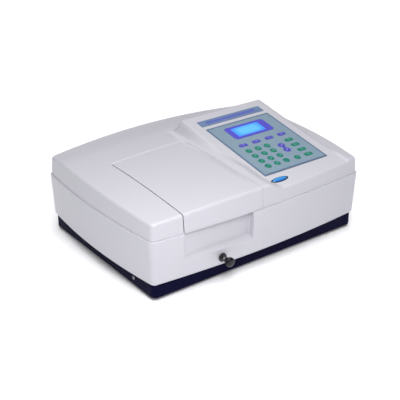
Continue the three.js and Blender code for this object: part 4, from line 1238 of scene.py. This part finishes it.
def build_pull_rod():
    low, high = cad_box("pull_knob")
    front, back, r = low.y, high.y, (high.x - low.x) / 2
    length = back - front
    profile = [
        (0.01, 0), (r * 0.62, 0), (r * 0.66, length * 0.2), (r * 0.8, length * 0.38),
        (r * 0.97, length * 0.5), (r, length * 0.72), (r * 0.93, length * 0.88),
        (r * 0.72, length * 0.97), (r * 0.35, length), (0.01, length),
    ]
    vertices, faces = turned(rounded_profile(profile, 1.6, 5))
    vertices = [(ROD_X + x, back - z, ROD_Z + y) for x, y, z in vertices]
    knob = make_object("rod_knob", vertices, faces)
    finish_piece(knob, GLOSS_BLACK, body="carriage", slot="black_plastic", replaces=["pull_knob"], sharp=60)
    low, high = cad_box("pull_rod")
    r = (high.x - low.x) / 2
    end = cad_box("cell_carriage")[0].y
    profile = [(0.01, front + 4), (r, front + 4), (r, end - 0.3), (0.01, end - 0.3)]
    vertices, faces = turned(rounded_profile(profile, 0.4))
    rod = make_object("carriage_rod", along_rod(vertices), faces)
    finish_piece(rod, STEEL, body="carriage", slot="steel", replaces=["pull_rod"])
    low, high = cad_box("rod_bush")
    flange = (high.x - low.x) / 2
    bore = r + 0.25
    lip = low.y + 3.0
    section = [
        (bore, low.y + 0.4), (bore + 0.5, low.y), (flange - 1.4, low.y), (flange, low.y + 1.2),
        (flange, lip), (5.0, lip), (5.0, high.y), (bore, high.y),
    ]
    rings = turned_rings(section, 48)
    count = len(rings[0])
    vertices = along_rod([p for ring in rings for p in ring])
    faces = []
    for level in range(len(section)):
        faces += band(count, level * count, ((level + 1) % len(section)) * count)
    bush = make_object("rod_collar", vertices, faces)
    finish_piece(bush, BLACK, slot="black_plastic", replaces=["rod_bush"])


# ------------------------------------------------------------------ screws and the serial port
def build_screw(name, place, turn, radius, height, material):
    """A button-head screw with a hexagon socket, standing on the surface at place."""
    angles = np.linspace(0, 2 * math.pi, 25)[:-1]
    profile = (
        (0.96, -0.8), (1.0, 0.15), (0.97, 0.35 * height),
        (0.85, 0.72 * height), (0.66, 0.95 * height), (0.56, height),
    )
    rings = turned_rings([(radius * r, z) for r, z in profile], 24)
    for scale, z in ((0.46, height), (0.44, 0.25 * height)):
        flat = [scale * radius / math.cos((a + math.pi / 6) % (math.pi / 3) - math.pi / 6) for a in angles]
        rings.append([(r * math.cos(a), r * math.sin(a), z) for r, a in zip(flat, angles)])
    vertices, faces = loft(rings)
    matrix = Matrix.Translation(ORIGIN + Vector(place) * MM) @ turn
    finish_piece(make_object(name, vertices, faces, matrix), material, slot="steel", sharp=32)


def build_screws():
    to_back = Matrix.Rotation(math.radians(-90), 4, "X")
    panel_back = cad_box("rear_panel")[1].y
    inset, fan_screw = 7, 21.5
    columns = (REAR["x0"] + inset, REAR["x1"] - inset)
    places = [(x, z) for x in columns for z in (REAR["z0"] + inset, REAR["z1"] - inset)]
    fan_low, fan_high = cad_box("fan_frame")
    fan = (fan_low + fan_high) / 2
    offsets = (-fan_screw, fan_screw)
    places += [(fan.x + dx, fan.z + dz) for dx in offsets for dz in offsets]
    for index, (x, z) in enumerate(places):
        build_screw(f"rear_screw_{index + 1}", (x, panel_back, z), to_back, 2.7, 1.7, STEEL)
    for side, sign in (("left", -1), ("right", 1)):
        turn = Matrix.Rotation(math.radians(90 * sign), 4, "Y")
        build_screw(f"tray_screw_{side}", (sign * TRAY_X, *TRAY_SCREW), turn, 3.2, 1.8, STEEL)


def port_loop(half_x, half_z, slant=0.09, radius=1.2):
    """A D-shaped outline, wider at its top."""
    def loop(inset):
        points = rounded_loop(-half_x, half_x, -half_z, half_z, radius, inset, steps=6)
        return [(x * (1 + slant * z / half_z), z) for x, z in points]

    return loop


def hexagon_loop(x, radius):
    def loop(inset):
        reach = radius - inset
        return [(x + reach * math.cos(a), reach * math.sin(a)) for a in np.radians(range(0, 360, 60))]

    return loop


def round_loop(x, z, radius, steps):
    return lambda inset: circle_loop(x, z, radius, inset, steps=steps)


def build_serial_port():
    """The port's flange and D-shaped shell, its insulator with nine sockets, and two hexagon posts."""
    low, high = cad_box("serial_port")
    centre = (low + high) / 2
    seat = cad_box("rear_panel")[1].y
    matrix = Matrix.Translation(ORIGIN + Vector((centre.x, seat, centre.z)) * MM)
    matrix = matrix @ Matrix.Rotation(math.radians(90), 4, "X") @ Matrix.Rotation(math.pi, 4, "Y")
    half_x, half_z = (high.x - low.x) / 2, (high.z - low.z) / 2
    socket_pitch, row_offset, post_inset = 2.77, 1.42, 3.2

    def flange(inset):
        return rounded_loop(-half_x, half_x, -half_z, half_z, 2.0, inset, steps=6)

    def port_piece(name, shape, material, slot, **rest):
        obj = make_object(name, shape.vertices, shape.faces, matrix)
        finish_piece(obj, material, slot=slot, flat_caps=True, **rest)

    shell = Shape().add(*plate(flange, [port_loop(7.6, 3.6)], 0.3, 1.5, 0.2))
    shell.add(*plate(port_loop(8.5, 4.2), [port_loop(8.0, 3.8)], 0.6, 6.2, 0.15))
    port_piece("port_shell", shell, ZINC, "zinc", replaces=["serial_port"])
    sockets = []
    for row, count in ((1, 5), (-1, 4)):
        for i in range(count):
            x = (i - (count - 1) / 2) * socket_pitch
            sockets.append(round_loop(x, row * row_offset, 0.55, 12))
    core = Shape().add(*plate(port_loop(7.2, 3.2), sockets, 0.2, 5.2, 0.15))
    port_piece("port_core", core, BLACK, "black_plastic")
    posts = Shape()
    for x in (-half_x + post_inset, half_x - post_inset):
        posts.add(*plate(hexagon_loop(x, 2.6), [round_loop(x, 0, 1.3, 18)], 1.45, 5.4, 0.25))
    port_piece("port_posts", posts, STEEL, "steel", sharp=25)


# ------------------------------------------------------------------ carried-over CAD nodes
def dress(node, material, bevel=0.35):
    """Gives a CAD node its material and soft edges; its own mesh stays as it is."""
    obj = frame["nodes"][node]
    obj.data.materials.clear()
    obj.data.materials.append(material)
    modifier = obj.modifiers.new("soft_edges", "BEVEL")
    modifier.width = bevel * MM
    modifier.segments = 2
    modifier.limit_method = "ANGLE"
    modifier.angle_limit = math.radians(50)
    modifier.harden_normals = False


def dress_inner_nodes():
    for node in ("lid_hood", "fan_frame", "fan_rotor", "power_inlet"):
        dress(node, MATT_BLACK if node == "lid_hood" else BLACK)
    for node in ("sample_compartment", "cell_carriage", "filter_wheel", "detector_box"):
        dress(node, ANODISED)
    for node in ("carriage_rail", "grating_mount"):
        dress(node, STEEL, 0.25)
    for node in ("hinge_arm_left", "hinge_arm_right"):
        dress(node, ZINC, 0.25)
    for node in ("hinge_bracket_left", "hinge_bracket_right", "rear_panel", "power_supply"):
        dress(node, ZINC, 0.3)
    for node in ("monochromator_housing", "lamp_house"):
        dress(node, ALUMINIUM, 0.6)
    dress("rocker_switch", GLOSS_BLACK, 0.4)
    dress("main_board", BOARD, 0.2)


# ------------------------------------------------------------------ stage, light and camera
def build_stage():
    half = 40.0
    mesh = bpy.data.meshes.new("floor")
    corners = [(-half, -half, 0), (half, -half, 0), (half, half, 0), (-half, half, 0)]
    mesh.from_pydata(corners, [], [(0, 1, 2, 3)])
    floor = bpy.data.objects.new("floor", mesh)
    bpy.context.scene.collection.objects.link(floor)
    paper = Nodes("studio_paper_painted_glow", srgb(248, 248, 250), 0.8, specular=0.1)
    paper.bump(paper.noise(400.0, 2.0), 0.02)
    # Painted light: the floor glows, from 0.14 within 0.25 m of its middle, where the instrument stands, to
    # 0.2 beyond 0.7 m.
    paper.set("Emission Color", srgb(250, 250, 252))
    distance = paper.tree.nodes.new("ShaderNodeVectorMath")
    distance.operation = "LENGTH"
    paper.link(paper.place, distance.inputs[0])
    paper.spread(distance.outputs["Value"], 0.14, 0.2, "Emission Strength", 0.25, 0.7)
    mesh.materials.append(paper.material)

    world = bpy.data.worlds.new("studio")
    bpy.context.scene.world = world
    world.use_nodes = True
    background = world.node_tree.nodes["Background"]
    background.inputs["Color"].default_value = (0.93, 0.95, 1.0, 1)
    background.inputs["Strength"].default_value = 0.05

    light = bpy.data.lights.new("key_softbox", "AREA")
    light.shape = "RECTANGLE"
    light.size, light.size_y = 0.35, 0.25
    light.energy = 3.9
    softbox = bpy.data.objects.new("key_softbox", light)
    near_corner, place = Vector((-0.2, -0.15, 0.12)), Vector((-0.39, -0.60, 0.67))
    softbox.location = place
    softbox.rotation_mode = "QUATERNION"
    softbox.rotation_quaternion = (place - near_corner).to_track_quat("Z", "Y")
    softbox.visible_camera = False
    bpy.context.scene.collection.objects.link(softbox)
    sun = bpy.data.lights.new("room_light", "SUN")
    sun.energy = 2.7
    sun.angle = math.radians(50)
    sun_object = bpy.data.objects.new("room_light", sun)
    sun_object.rotation_euler = (math.radians(2), 0, 0)
    bpy.context.scene.collection.objects.link(sun_object)


def build_camera():
    data = bpy.data.cameras.new("camera")
    data.lens = CAMERA["lens"]
    data.sensor_width = 36.0
    camera = bpy.data.objects.new("camera", data)
    camera.location = CAMERA["place"]
    camera.rotation_mode = "QUATERNION"
    camera.rotation_quaternion = Vector(CAMERA["heading"]).to_track_quat("-Z", "Y")
    bpy.context.scene.collection.objects.link(camera)
    bpy.context.scene.camera = camera


build_camera()
build_stage()
build_top()
build_lower_housing()
build_base()
build_console()
build_keys()
build_arrow_link()
build_badge()
build_pull_rod()
build_screws()
build_serial_port()
dress_inner_nodes()
bpy.context.scene.view_settings.view_transform = "Standard"
bpy.context.scene.view_settings.look = "None"
